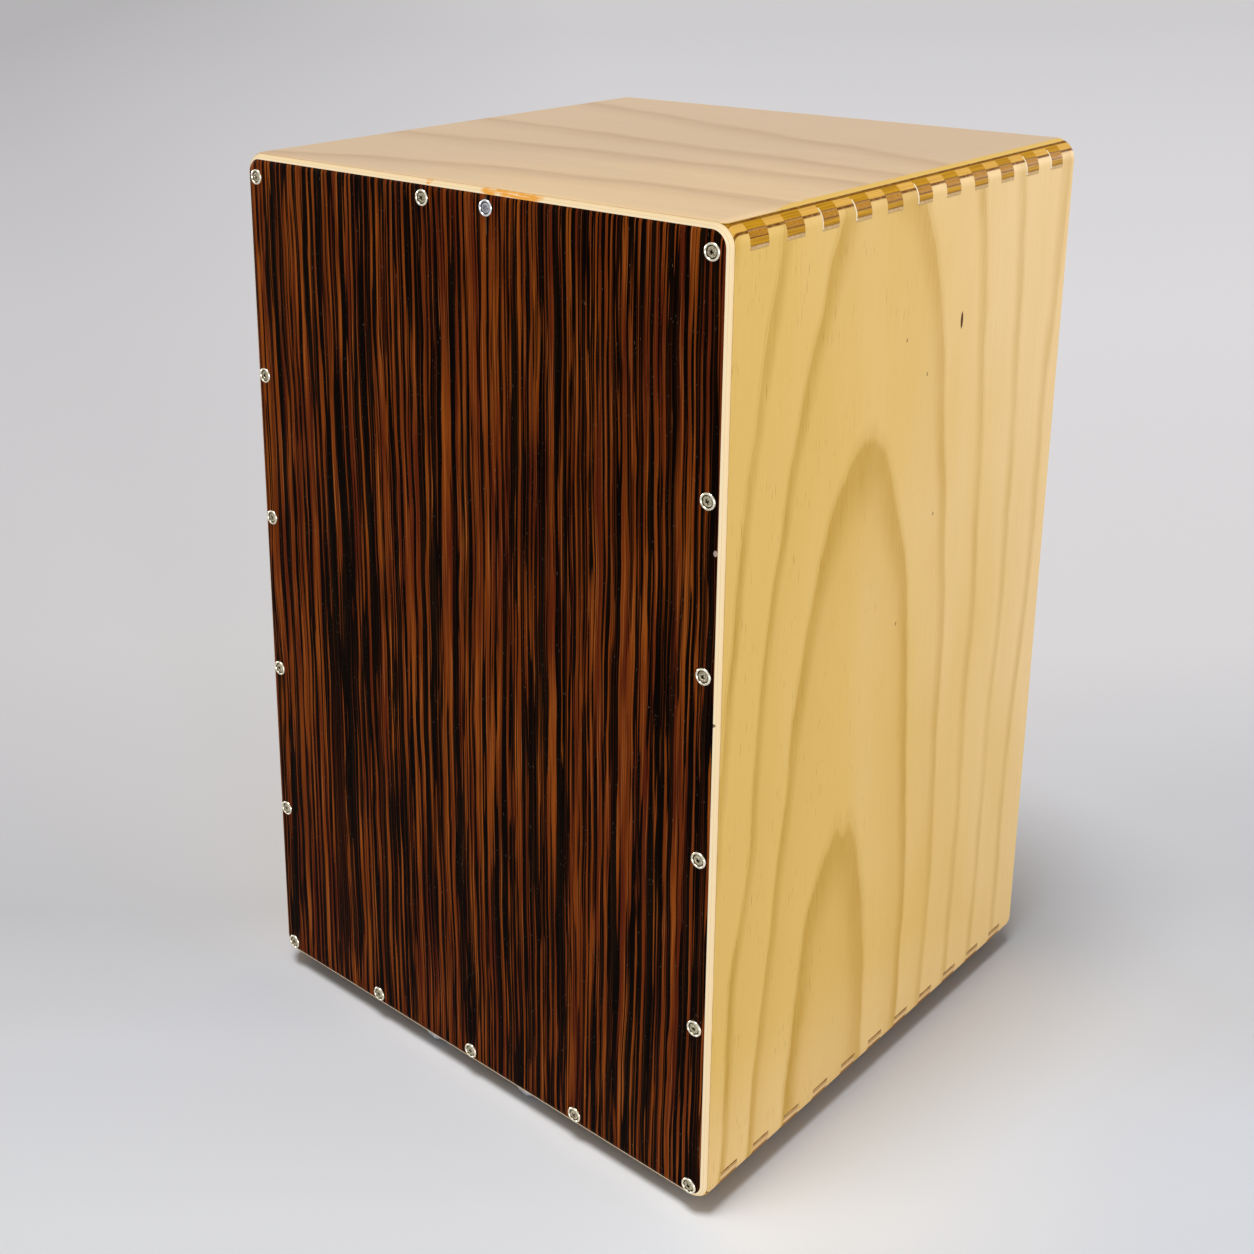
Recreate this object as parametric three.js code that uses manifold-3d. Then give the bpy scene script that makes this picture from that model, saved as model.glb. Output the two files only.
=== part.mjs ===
// A wooden box drum: a finger-jointed plywood shell, a thin veneered playing board screwed over
// its front, a back board with a round sound hole, rubber feet, and a set of tuned wires inside.
//
// Millimetres. +Z is up, the playing board faces -Y, and the origin is on the floor under the
// middle of the drum. Left is -X and right is +X, as seen by someone looking at the front.

import * as THREE from 'three';
import { mergeVertices } from 'three/addons/utils/BufferGeometryUtils.js';
import Module from 'manifold-3d';

const wasm = await Module();
wasm.setup();

// Driving sizes of the shell
const width = 312;
const height = 480;
const shellDepth = 306.4;
const panelThickness = 13;
const cornerRadius = 11;      // rounding of the four long edges, seen from the front
const frontRounding = 6;      // rounding of the edge all round the playing board
const backRounding = 5;       // the same at the back
const glueLine = 0.1;         // gap between glued or clamped faces
const overrun = 20;           // how far stock and cutters pass the face that they stop at

// Finger joints
const firstFinger = 9.5;      // the side's first finger, behind the playing board
const fingerWidth = 13.33;
const lastFingerLeast = 8;
const faceLap = 1.6;          // the seat's face ply, which runs over the ends of the side fingers

// Playing board
const boardThickness = 3;

// Screws that hold the playing board
const screwHeadRadius = 4.1;
const screwHeadRise = 1;
const screwShankRadius = 1.7;
const screwLength = 22;
const screwPoint = 4;
const holeClearance = 0.15;
const seatGap = 0.05;
const sideScrewInset = 8.8;
const topScrewInset = 9.6;
const bottomScrewInset = 8.2;
const topCornerInset = 9.8;
const topCornerDrop = 12.7;
const bottomCornerInset = 9.6;
const sideScrewHeightShares = [0.749, 0.579, 0.389, 0.203];
const topScrewShares = [-0.0735, 0.0603];
const bottomScrewShares = [-0.232, 0, 0.236];

// Back board, the battens that it rests on, and its screws
const backThickness = 4;
const backRecess = 0.5;
const backFit = 0.3;
const battenSize = 12;
const soundHoleRadius = 56;
const soundHoleHeight = 262;  // of its centre, over the shell's lower face
const backScrewHeadRadius = 3.4;
const backScrewHeadHeight = 1.7;
const backScrewShankRadius = 1.5;
const backScrewLength = 12;
const backScrewPoint = 3;
const backScrewSideInset = 7;
const backScrewEndInset = 16;

// Feet
const footHeight = 8;
const footRadius = 14;
const footTreadRadius = 12.4;
const footTreadRounding = 1.2;
const footInset = 38;
const footPocketRadius = 5.4;
const footPocketDepth = 4;
const footScrewHeadRadius = 4;
const footScrewHeadHeight = 2.2;
const footScrewShankRadius = 1.8;
const footScrewLength = 14;
const footScrewPoint = 3;

// Tuned wires behind the playing board
const pairOffset = 34;        // of each pair of wires from the middle
const wireSpread = 10;        // between the two wires of a pair
const wireRadius = 0.4;
const wireGap = 0.6;          // from the playing board
const wireEndGap = 0.3;
const anchorOverhang = 22;
const anchorSize = 12;
const anchorGap = 0.5;
const anchorChamfer = 1.5;
const carrierWidth = 24;
const carrierDepth = 14;
const carrierHeight = 12;
const carrierGap = 0.5;
const carrierChamfer = 1;
const carrierLift = 22;       // of its lower face over the floor board, as tuned
const boltRadius = 3;
const boltRunningGap = 0.1;
const boltLength = 52;
const boltHeadRadius = 5.2;
const boltHeadHeight = 3.6;
const boltHeadRounding = 0.6;
const boltSocketRadius = 2.3;
const boltSocketDepth = 2.2;
const washerRadius = 7.5;
const washerThickness = 1.2;
const boltHoleRadius = 3.4;
const railThickness = 10;
const railHeight = 44;
const railGap = 0.3;
const railChamfer = 1.5;

// Recesses in the screw heads
const crossArm = 4.2;
const crossWidth = 0.9;
const crossDepth = 1.5;

// Facets of round shapes
const cornerFacets = 5;
const roundingFacets = 3;
const screwFacets = 12;
const boltFacets = 18;
const holeFacets = 40;
const footFacets = 20;
const wireFacets = 8;
const hexSides = 6;

// Places worked out from the sizes. The screw heads stand proud of the front, so the playing
// board lies half a head's rise behind the middle's share of the whole depth.
const wholeDepth = screwHeadRise + seatGap + boardThickness + glueLine + shellDepth;
const boardFront = -wholeDepth / 2 + screwHeadRise + seatGap;
const boardBack = boardFront + boardThickness;
const shellFront = boardBack + glueLine;
const shellBack = shellFront + shellDepth;
const under = footHeight;
const top = under + height;
const outer = width / 2;
const inner = outer - panelThickness;
const floorFace = under + panelThickness;
const ceilingFace = top - panelThickness;
const backFront = shellBack - backRecess - backThickness;
const battenFront = backFront - battenSize - glueLine;

// Materials
const paint = (color, roughness, metalness = 0) =>
  new THREE.MeshStandardMaterial({ color, roughness, metalness });
const plywood = paint(0xe3bd80, 0.45);
const seatWood = paint(0xd6b690, 0.45);
const backWood = paint(0xdfc08c, 0.5);
const darkVeneer = paint(0x47200f, 0.3);
const battenWood = paint(0xd8b88a, 0.7);
const hardwood = paint(0x9a6a3c, 0.6);
const nickel = paint(0xc9c2b2, 0.3, 1);
const steel = paint(0x9c9ea2, 0.35, 1);
const brass = paint(0xc2a15a, 0.35, 1);
const rubber = paint(0x1c1c1c, 0.85);

// Solids

function solid(geometry) {
  geometry.deleteAttribute('normal');
  geometry.deleteAttribute('uv');
  const merged = mergeVertices(geometry);
  return new wasm.Manifold(new wasm.Mesh({
    numProp: 3,
    vertProperties: new Float32Array(merged.attributes.position.array),
    triVerts: new Uint32Array(merged.index.array),
  }));
}

function geometryOf(body) {
  const mesh = body.getMesh();
  const geometry = new THREE.BufferGeometry();
  geometry.setAttribute('position', new THREE.BufferAttribute(mesh.vertProperties, 3));
  geometry.setIndex(new THREE.BufferAttribute(mesh.triVerts, 1));
  geometry.computeVertexNormals();
  return geometry;
}

function block([x0, x1], [y0, y1], [z0, z1]) {
  const geometry = new THREE.BoxGeometry(x1 - x0, y1 - y0, z1 - z0);
  geometry.translate((x0 + x1) / 2, (y0 + y1) / 2, (z0 + z1) / 2);
  return solid(geometry);
}

// A bar along X or Z whose four long edges are chamfered
function chamferedBar(x, y, z, chamfer, alongX) {
  const [a0, a1] = alongX ? y : x;
  const [b0, b1] = alongX ? z : y;
  const [l0, l1] = alongX ? x : z;
  const outline = new THREE.Shape([
    new THREE.Vector2(a0 + chamfer, b0),
    new THREE.Vector2(a1 - chamfer, b0),
    new THREE.Vector2(a1, b0 + chamfer),
    new THREE.Vector2(a1, b1 - chamfer),
    new THREE.Vector2(a1 - chamfer, b1),
    new THREE.Vector2(a0 + chamfer, b1),
    new THREE.Vector2(a0, b1 - chamfer),
    new THREE.Vector2(a0, b0 + chamfer),
  ]);
  const geometry = new THREE.ExtrudeGeometry(outline, { depth: l1 - l0, bevelEnabled: false });
  geometry.translate(0, 0, l0);
  if (alongX) {
    // (a, b, l) becomes (l, a, b)
    geometry.applyMatrix4(new THREE.Matrix4().set(0, 0, 1, 0, 1, 0, 0, 0, 0, 1, 0, 0, 0, 0, 0, 1));
  }
  return solid(geometry);
}

// A round bar on the Z axis, from z0 to z1
function rod(radius, z0, z1, facets) {
  const geometry = new THREE.CylinderGeometry(radius, radius, z1 - z0, facets);
  geometry.rotateX(Math.PI / 2);
  geometry.translate(0, 0, (z0 + z1) / 2);
  return solid(geometry);
}

// A round bar that runs along Y, from y0 to y1
function rodAlongY(radius, x, z, y0, y1, facets) {
  const geometry = new THREE.CylinderGeometry(radius, radius, y1 - y0, facets);
  geometry.translate(x, (y0 + y1) / 2, z);
  return solid(geometry);
}

// A turned shape: pairs of radius and height, turned about the Z axis
function turned(profile, facets) {
  const points = profile.map(([radius, z]) => new THREE.Vector2(radius, z));
  const geometry = new THREE.LatheGeometry(points, facets);
  geometry.rotateX(Math.PI / 2);
  return solid(geometry);
}

function cutAll(body, cutters) {
  return cutters.reduce((rest, cutter) => rest.subtract(cutter), body);
}

// The drum's outer form: a rounded rectangle drawn along Y, with its rim rounded at the end
// faces. One form gives the front rim and the other the back rim, and each runs past the other's.
function outerForm(y0, y1, rounding) {
  const outline = new THREE.Shape();
  const r = cornerRadius;
  outline.moveTo(-outer + r, under);
  outline.lineTo(outer - r, under);
  outline.absarc(outer - r, under + r, r, -Math.PI / 2, 0, false);
  outline.lineTo(outer, top - r);
  outline.absarc(outer - r, top - r, r, 0, Math.PI / 2, false);
  outline.lineTo(-outer + r, top);
  outline.absarc(-outer + r, top - r, r, Math.PI / 2, Math.PI, false);
  outline.lineTo(-outer, under + r);
  outline.absarc(-outer + r, under + r, r, Math.PI, Math.PI * 3 / 2, false);
  const geometry = new THREE.ExtrudeGeometry(outline, {
    depth: y1 - y0 - 2 * rounding,
    curveSegments: cornerFacets,
    bevelEnabled: true,
    bevelThickness: rounding,
    bevelSize: rounding,
    bevelOffset: -rounding,
    bevelSegments: roundingFacets,
  });
  geometry.rotateX(Math.PI / 2);
  geometry.translate(0, y1 - rounding, 0);
  return solid(geometry);
}

const drumForm = outerForm(boardFront, shellBack + overrun, frontRounding)
  .intersect(outerForm(boardFront - overrun, shellBack, backRounding));

// Finger joints: the stretches along Y that the seat's and the floor board's fingers fill

const fingerCount = Math.max(
  1,
  Math.floor((shellDepth - firstFinger - lastFingerLeast + fingerWidth) / (2 * fingerWidth)),
);
const fingers = [];
for (let i = 0; i < fingerCount; i += 1) {
  const start = shellFront + firstFinger + 2 * i * fingerWidth;
  fingers.push([start, start + fingerWidth]);
}

function betweenFingers() {
  const stretches = [];
  let start = shellFront - overrun;
  for (const [from, to] of fingers) {
    stretches.push([start, from + glueLine]);
    start = to - glueLine;
  }
  stretches.push([start, shellBack + overrun]);
  return stretches;
}

// Screws of the playing board, as [x, z]

const boardScrews = [
  [-outer + topCornerInset, top - topCornerDrop],
  ...topScrewShares.map((share) => [share * width, top - topScrewInset]),
  [outer - topCornerInset, top - topCornerDrop],
  ...sideScrewHeightShares.map((share) => [outer - sideScrewInset, under + share * height]),
  [outer - bottomCornerInset, under + bottomScrewInset],
  ...[...bottomScrewShares].reverse().map((share) => [share * width, under + bottomScrewInset]),
  [-outer + bottomCornerInset, under + bottomScrewInset],
  ...[...sideScrewHeightShares].reverse().map(
    (share) => [-outer + sideScrewInset, under + share * height],
  ),
];

const boardScrewHoles = boardScrews.map(([x, z]) => rodAlongY(
  screwShankRadius + holeClearance,
  x,
  z,
  boardFront - overrun,
  boardFront + screwLength + holeClearance,
  screwFacets,
));

// Screws of the back board, as [x, z]

const backHalfWidth = inner - backFit;
const backLow = floorFace + backFit;
const backHigh = ceilingFace - backFit;
const backScrews = [];
for (const x of [-backHalfWidth + backScrewSideInset, backHalfWidth - backScrewSideInset]) {
  backScrews.push([x, backLow + backScrewEndInset]);
  backScrews.push([x, (backLow + backHigh) / 2]);
  backScrews.push([x, backHigh - backScrewEndInset]);
}
backScrews.push([0, backLow + backScrewSideInset]);
backScrews.push([0, backHigh - backScrewSideInset]);

const backScrewHoles = backScrews.map(([x, z]) => rodAlongY(
  backScrewShankRadius + holeClearance,
  x,
  z,
  shellBack - backRecess - backScrewLength - holeClearance,
  shellBack + overrun,
  screwFacets,
));

// Feet and the bolts of the tuned wires, as [x, y]

const feet = [];
for (const x of [-outer + footInset, outer - footInset]) {
  for (const y of [shellFront + footInset, shellBack - footInset]) {
    feet.push([x, y]);
  }
}
const footScrewSeat = footPocketDepth - seatGap;
const boltY = boardBack + carrierGap + carrierDepth / 2;
const boltPlaces = [-pairOffset, pairOffset];

const footScrewHoles = feet.map(([x, y]) => rod(
  footScrewShankRadius + holeClearance,
  under - overrun,
  footScrewSeat + footScrewLength + holeClearance,
  screwFacets,
).translate([x, y, 0]));
const boltHoles = boltPlaces.map((x) => rod(
  boltHoleRadius,
  under - overrun,
  floorFace + overrun,
  boltFacets,
).translate([x, boltY, 0]));

// Panels of the shell

function sidePanel(side) {
  const stock = block(
    side > 0 ? [inner, outer + overrun] : [-outer - overrun, -inner],
    [shellFront, shellBack],
    [under - overrun, top - faceLap - glueLine],
  );
  const across = side > 0
    ? [inner - overrun, outer + 2 * overrun]
    : [-outer - 2 * overrun, -inner + overrun];
  const slots = fingers.flatMap((stretch) => [
    block(across, stretch, [ceilingFace - glueLine, top + overrun]),
    block(across, stretch, [under - 2 * overrun, floorFace + glueLine]),
  ]);
  return cutAll(stock.intersect(drumForm), [...slots, ...boardScrewHoles]);
}

// The seat and the floor board: the gaps between their fingers reach from z0 to z1
function endPanel(z, [z0, z1], cutters) {
  const stock = block([-outer - overrun, outer + overrun], [shellFront, shellBack], z);
  const gaps = betweenFingers().flatMap((stretch) => [
    block([inner - glueLine, outer + 2 * overrun], stretch, [z0, z1]),
    block([-outer - 2 * overrun, -inner + glueLine], stretch, [z0, z1]),
  ]);
  return cutAll(stock.intersect(drumForm), [...gaps, ...cutters]);
}

const topPanel = endPanel(
  [ceilingFace, top + overrun],
  [ceilingFace - overrun, top - faceLap],
  boardScrewHoles,
);
const bottomPanel = endPanel(
  [under - overrun, floorFace],
  [under - 2 * overrun, floorFace + overrun],
  [...boardScrewHoles, ...footScrewHoles, ...boltHoles],
);

// Playing board

const board = cutAll(
  drumForm.intersect(block(
    [-outer - overrun, outer + overrun],
    [boardFront - overrun, boardBack],
    [under - overrun, top + overrun],
  )),
  boardScrewHoles,
);

// Back board and battens

const backCountersinks = backScrews.map(([x, z]) => {
  const cutter = new THREE.CylinderGeometry(
    backScrewHeadRadius + holeClearance,
    backScrewShankRadius + holeClearance,
    backScrewHeadHeight,
    screwFacets,
  );
  cutter.translate(x, shellBack - backRecess - backScrewHeadHeight / 2 + seatGap, z);
  return solid(cutter);
});
const soundHole = rodAlongY(
  soundHoleRadius,
  0,
  under + soundHoleHeight,
  backFront - overrun,
  shellBack + overrun,
  holeFacets,
);
const backBoard = cutAll(
  block([-backHalfWidth, backHalfWidth], [backFront, shellBack - backRecess], [backLow, backHigh]),
  [
    soundHole,
    ...backScrewHoles,
    ...backCountersinks,
  ],
);

const battenDepth = [battenFront, backFront - glueLine];
const battenEdge = inner - glueLine;
function sideBatten(side) {
  const across = side > 0
    ? [battenEdge - battenSize, battenEdge]
    : [-battenEdge, -battenEdge + battenSize];
  return cutAll(
    block(across, battenDepth, [floorFace + glueLine, ceilingFace - glueLine]),
    backScrewHoles,
  );
}
function endBatten(z0) {
  const end = battenEdge - battenSize - glueLine;
  return cutAll(block([-end, end], battenDepth, [z0, z0 + battenSize]), backScrewHoles);
}

// Screws, each with its head up and its seat at zero

function crossRecess(z, depth) {
  const arm = crossArm / 2;
  const half = crossWidth / 2;
  return block([-arm, arm], [-half, half], [z - depth, z + overrun])
    .add(block([-half, half], [-arm, arm], [z - depth, z + overrun]));
}

// A head with a raised rim and a dished face
const dishRadiusShare = 0.62;
const crestRadiusShare = 0.84;
const shoulderShare = 0.45;
const dishFloorShare = 0.4;
function rimmedScrew() {
  const tip = -screwLength;
  const body = turned([
    [0, tip],
    [screwShankRadius, tip + screwPoint],
    [screwShankRadius, 0],
    [screwHeadRadius, 0],
    [screwHeadRadius, screwHeadRise * shoulderShare],
    [screwHeadRadius * crestRadiusShare, screwHeadRise],
    [screwHeadRadius * dishRadiusShare, screwHeadRise * dishFloorShare],
    [0, screwHeadRise * dishFloorShare],
  ], screwFacets);
  return body.subtract(crossRecess(screwHeadRise * dishFloorShare, crossDepth));
}

// A countersunk head, flush with the face that it sits in
function countersunkScrew() {
  return turned([
    [0, -backScrewLength],
    [backScrewShankRadius, -backScrewLength + backScrewPoint],
    [backScrewShankRadius, -backScrewHeadHeight],
    [backScrewHeadRadius, 0],
    [0, 0],
  ], screwFacets).subtract(crossRecess(0, crossDepth));
}

// A pan head
function panScrew() {
  return turned([
    [0, -footScrewLength],
    [footScrewShankRadius, -footScrewLength + footScrewPoint],
    [footScrewShankRadius, 0],
    [footScrewHeadRadius, 0],
    [footScrewHeadRadius, footScrewHeadHeight * shoulderShare],
    [footScrewHeadRadius * crestRadiusShare, footScrewHeadHeight],
    [0, footScrewHeadHeight],
  ], screwFacets).subtract(crossRecess(footScrewHeadHeight, crossDepth));
}

// Feet: a tapered rubber puck with a pocket for its screw's head

function foot() {
  const bore = footScrewShankRadius + holeClearance;
  return turned([
    [bore, footPocketDepth],
    [footPocketRadius, footPocketDepth],
    [footPocketRadius, 0],
    [footTreadRadius - footTreadRounding, 0],
    [footTreadRadius, footTreadRounding],
    [footRadius, footHeight - glueLine],
    [bore, footHeight - glueLine],
    [bore, footPocketDepth],
  ], footFacets);
}

// Tuned wires: two bolts pull two carriers down, and each carrier holds a pair of wires

const carrierLow = floorFace + carrierLift;
const carrierHigh = carrierLow + carrierHeight;
const carrierFront = boardBack + carrierGap;
const carrierBack = carrierFront + carrierDepth;
const wireY = boardBack + wireGap + wireRadius;
const anchorLow = ceilingFace - glueLine - anchorSize;
const barHalf = pairOffset + anchorOverhang;
const boltSeat = under - glueLine - washerThickness - glueLine;

function tensionBolt() {
  const socketReach = boltHeadHeight - boltSocketDepth;
  const headRim = boltHeadRadius - boltHeadRounding;
  const body = turned([
    [0, -boltHeadHeight],
    [headRim, -boltHeadHeight],
    [boltHeadRadius, -boltHeadHeight + boltHeadRounding],
    [boltHeadRadius, 0],
    [boltRadius, 0],
    [boltRadius, boltLength],
    [0, boltLength],
  ], boltFacets);
  return body.subtract(rod(boltSocketRadius, -boltHeadHeight - overrun, -socketReach, hexSides));
}

function washer() {
  return turned([
    [boltHoleRadius, 0],
    [washerRadius, 0],
    [washerRadius, washerThickness],
    [boltHoleRadius, washerThickness],
    [boltHoleRadius, 0],
  ], boltFacets);
}

function carrier(x) {
  const body = chamferedBar(
    [x - carrierWidth / 2, x + carrierWidth / 2],
    [carrierFront, carrierBack],
    [carrierLow, carrierHigh],
    carrierChamfer,
    false,
  );
  const bore = rod(boltRadius + boltRunningGap, carrierLow - overrun, carrierHigh + overrun, boltFacets);
  return body.subtract(bore.translate([x, boltY, 0]));
}

function wire(x) {
  return rod(wireRadius, carrierHigh + wireEndGap, anchorLow - wireEndGap, wireFacets)
    .translate([x, wireY, 0]);
}

const anchorBar = chamferedBar(
  [-barHalf, barHalf],
  [boardBack + anchorGap, boardBack + anchorGap + anchorSize],
  [anchorLow, anchorLow + anchorSize],
  anchorChamfer,
  true,
);
const guideRail = chamferedBar(
  [-barHalf, barHalf],
  [carrierBack + railGap, carrierBack + railGap + railThickness],
  [floorFace + glueLine, floorFace + glueLine + railHeight],
  railChamfer,
  true,
);

// Scene

const cajon = new THREE.Group();

function place(name, body, material, parent = cajon) {
  const mesh = new THREE.Mesh(geometryOf(body), material);
  mesh.name = name;
  parent.add(mesh);
  return mesh;
}

// A screw whose head looks along -Y, +Y or -Z, given a turn of its own about its axis
const toFront = new THREE.Euler(Math.PI / 2, 0, 0);
const toBack = new THREE.Euler(-Math.PI / 2, 0, 0);
const toFloor = new THREE.Euler(Math.PI, 0, 0);
const turnStep = 0.7;
function placeScrew(name, body, material, facing, [x, y, z], turn) {
  const seat = new THREE.Group();
  seat.position.set(x, y, z);
  seat.rotation.copy(facing);
  cajon.add(seat);
  place(name, body, material, seat).rotation.z = turn * turnStep;
}

place('left_side', sidePanel(-1), plywood);
place('right_side', sidePanel(1), plywood);
place('top_panel', topPanel, seatWood);
place('bottom_panel', bottomPanel, plywood);
place('tapa', board, darkVeneer);
place('back_panel', backBoard, backWood);
place('back_batten_left', sideBatten(-1), battenWood);
place('back_batten_right', sideBatten(1), battenWood);
place('back_batten_top', endBatten(ceilingFace - glueLine - battenSize), battenWood);
place('back_batten_bottom', endBatten(floorFace + glueLine), battenWood);

const number = (index) => String(index + 1).padStart(2, '0');
const boardScrew = rimmedScrew();
boardScrews.forEach(([x, z], i) => {
  placeScrew(`tapa_screw_${number(i)}`, boardScrew, nickel, toFront, [x, boardFront - seatGap, z], i);
});
const backScrew = countersunkScrew();
backScrews.forEach(([x, z], i) => {
  placeScrew(`back_screw_${number(i)}`, backScrew, steel, toBack, [x, shellBack - backRecess, z], i);
});
const rubberFoot = foot();
const footScrew = panScrew();
feet.forEach(([x, y], i) => {
  place(`foot_${number(i)}`, rubberFoot, rubber).position.set(x, y, 0);
  placeScrew(`foot_screw_${number(i)}`, footScrew, steel, toFloor, [x, y, footScrewSeat], i);
});

place('wire_anchor', anchorBar, hardwood);
place('tuner_rail', guideRail, hardwood);
['left', 'right'].forEach((side, i) => {
  const x = boltPlaces[i];
  place(`tension_bolt_${side}`, tensionBolt(), steel).position.set(x, boltY, boltSeat);
  place(`bolt_washer_${side}`, washer(), steel).position.set(x, boltY, boltSeat + glueLine);
  place(`wire_carrier_${side}`, carrier(x), brass);
  place(`wire_${side}_outer`, wire(x + Math.sign(x) * wireSpread / 2), steel);
  place(`wire_${side}_inner`, wire(x - Math.sign(x) * wireSpread / 2), steel);
});

export default cajon;
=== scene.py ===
# A wooden box drum in a studio: the finer shapes and the finishes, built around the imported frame.
#
# Metres, in the same frame as the part: +Z up, the playing board faces -Y, the floor is z = 0.

import math

import bmesh
import bpy
from mathutils import Matrix, Vector


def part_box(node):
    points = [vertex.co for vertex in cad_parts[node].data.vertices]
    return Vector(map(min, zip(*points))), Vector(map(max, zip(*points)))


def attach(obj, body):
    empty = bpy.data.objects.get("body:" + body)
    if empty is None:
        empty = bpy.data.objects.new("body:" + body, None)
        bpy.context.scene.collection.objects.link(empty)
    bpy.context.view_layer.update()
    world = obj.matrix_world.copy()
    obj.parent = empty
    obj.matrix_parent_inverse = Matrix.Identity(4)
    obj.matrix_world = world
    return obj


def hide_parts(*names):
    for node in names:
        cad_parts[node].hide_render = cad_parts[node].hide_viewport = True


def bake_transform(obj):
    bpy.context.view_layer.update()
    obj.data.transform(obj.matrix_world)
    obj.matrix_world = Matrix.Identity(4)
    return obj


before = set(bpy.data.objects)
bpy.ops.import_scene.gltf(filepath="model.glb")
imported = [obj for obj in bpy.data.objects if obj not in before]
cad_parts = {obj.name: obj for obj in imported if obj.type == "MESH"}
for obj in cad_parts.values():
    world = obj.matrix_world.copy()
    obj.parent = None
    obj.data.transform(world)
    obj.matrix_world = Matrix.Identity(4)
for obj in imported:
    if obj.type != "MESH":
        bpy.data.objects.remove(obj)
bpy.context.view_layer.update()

MM = 0.001

# Sizes of the shell, as the part has them
CORNER = 11 * MM
FRONT_ROUNDING = 6 * MM
BACK_ROUNDING = 5 * MM
GLUE_LINE = 0.1 * MM
FACE_LAP = 1.6 * MM
FIRST_FINGER = 9.5 * MM
FINGER_WIDTH = 13.33 * MM
FINGER_COUNT = 11
HOLE_CLEARANCE = 0.15 * MM
OVERRUN = 20 * MM

# Millimetres: the depths of the plywood's glue lines under its outer face, how softly one ply
# passes into the next, and the same for the dark veneer on the playing board
PLY_LINES = (1.6, 4.8, 8.0, 11.2)
PLY_BORDER = 0.05
VENEER = 0.6
VENEER_BORDER = 0.04

# Places that the frame gives
board_low, board_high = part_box("tapa")
side_low, side_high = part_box("right_side")
seat_low, seat_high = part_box("top_panel")
floor_low, floor_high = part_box("bottom_panel")
OUTER = side_high.x
INNER = side_low.x
UNDER = floor_low.z
TOP = seat_high.z
CEILING = seat_low.z
FLOOR_FACE = floor_high.z
BOARD_FRONT = board_low.y
BOARD_BACK = board_high.y
SHELL_FRONT = side_low.y
SHELL_BACK = side_high.y


def middle_of(node):
    low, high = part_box(node)
    return (low + high) / 2


# Camera: its place in metres, its turns, and its focal length and optical axis in pixels of the
# square picture that it takes

PICTURE = 1254
FOCAL = 1701.2
PRINCIPAL = (486.9, 385.2)
CAMERA_PLACE = (0.5495, -0.7086, 0.6191)
AZIMUTH = math.radians(43.791)
ELEVATION = math.radians(16.342)
ROLL = math.radians(-0.72)
SENSOR = 36


def set_camera():
    back = Vector((
        math.sin(AZIMUTH) * math.cos(ELEVATION),
        -math.cos(AZIMUTH) * math.cos(ELEVATION),
        math.sin(ELEVATION),
    ))
    level = Vector((math.cos(AZIMUTH), math.sin(AZIMUTH), 0))
    upright = back.cross(level)
    right = math.cos(ROLL) * level + math.sin(ROLL) * upright
    up = back.cross(right)
    camera = bpy.data.cameras.new("camera")
    camera.sensor_width = SENSOR
    camera.lens = FOCAL / PICTURE * SENSOR
    camera.shift_x = 0.5 - PRINCIPAL[0] / PICTURE
    camera.shift_y = PRINCIPAL[1] / PICTURE - 0.5
    camera.clip_start = 0.01
    camera.clip_end = 100
    holder = bpy.data.objects.new("camera", camera)
    turn = Matrix((right, up, back)).transposed()
    holder.matrix_world = Matrix.Translation(CAMERA_PLACE) @ turn.to_4x4()
    bpy.context.scene.collection.objects.link(holder)
    bpy.context.scene.camera = holder


# Shader maths

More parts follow.
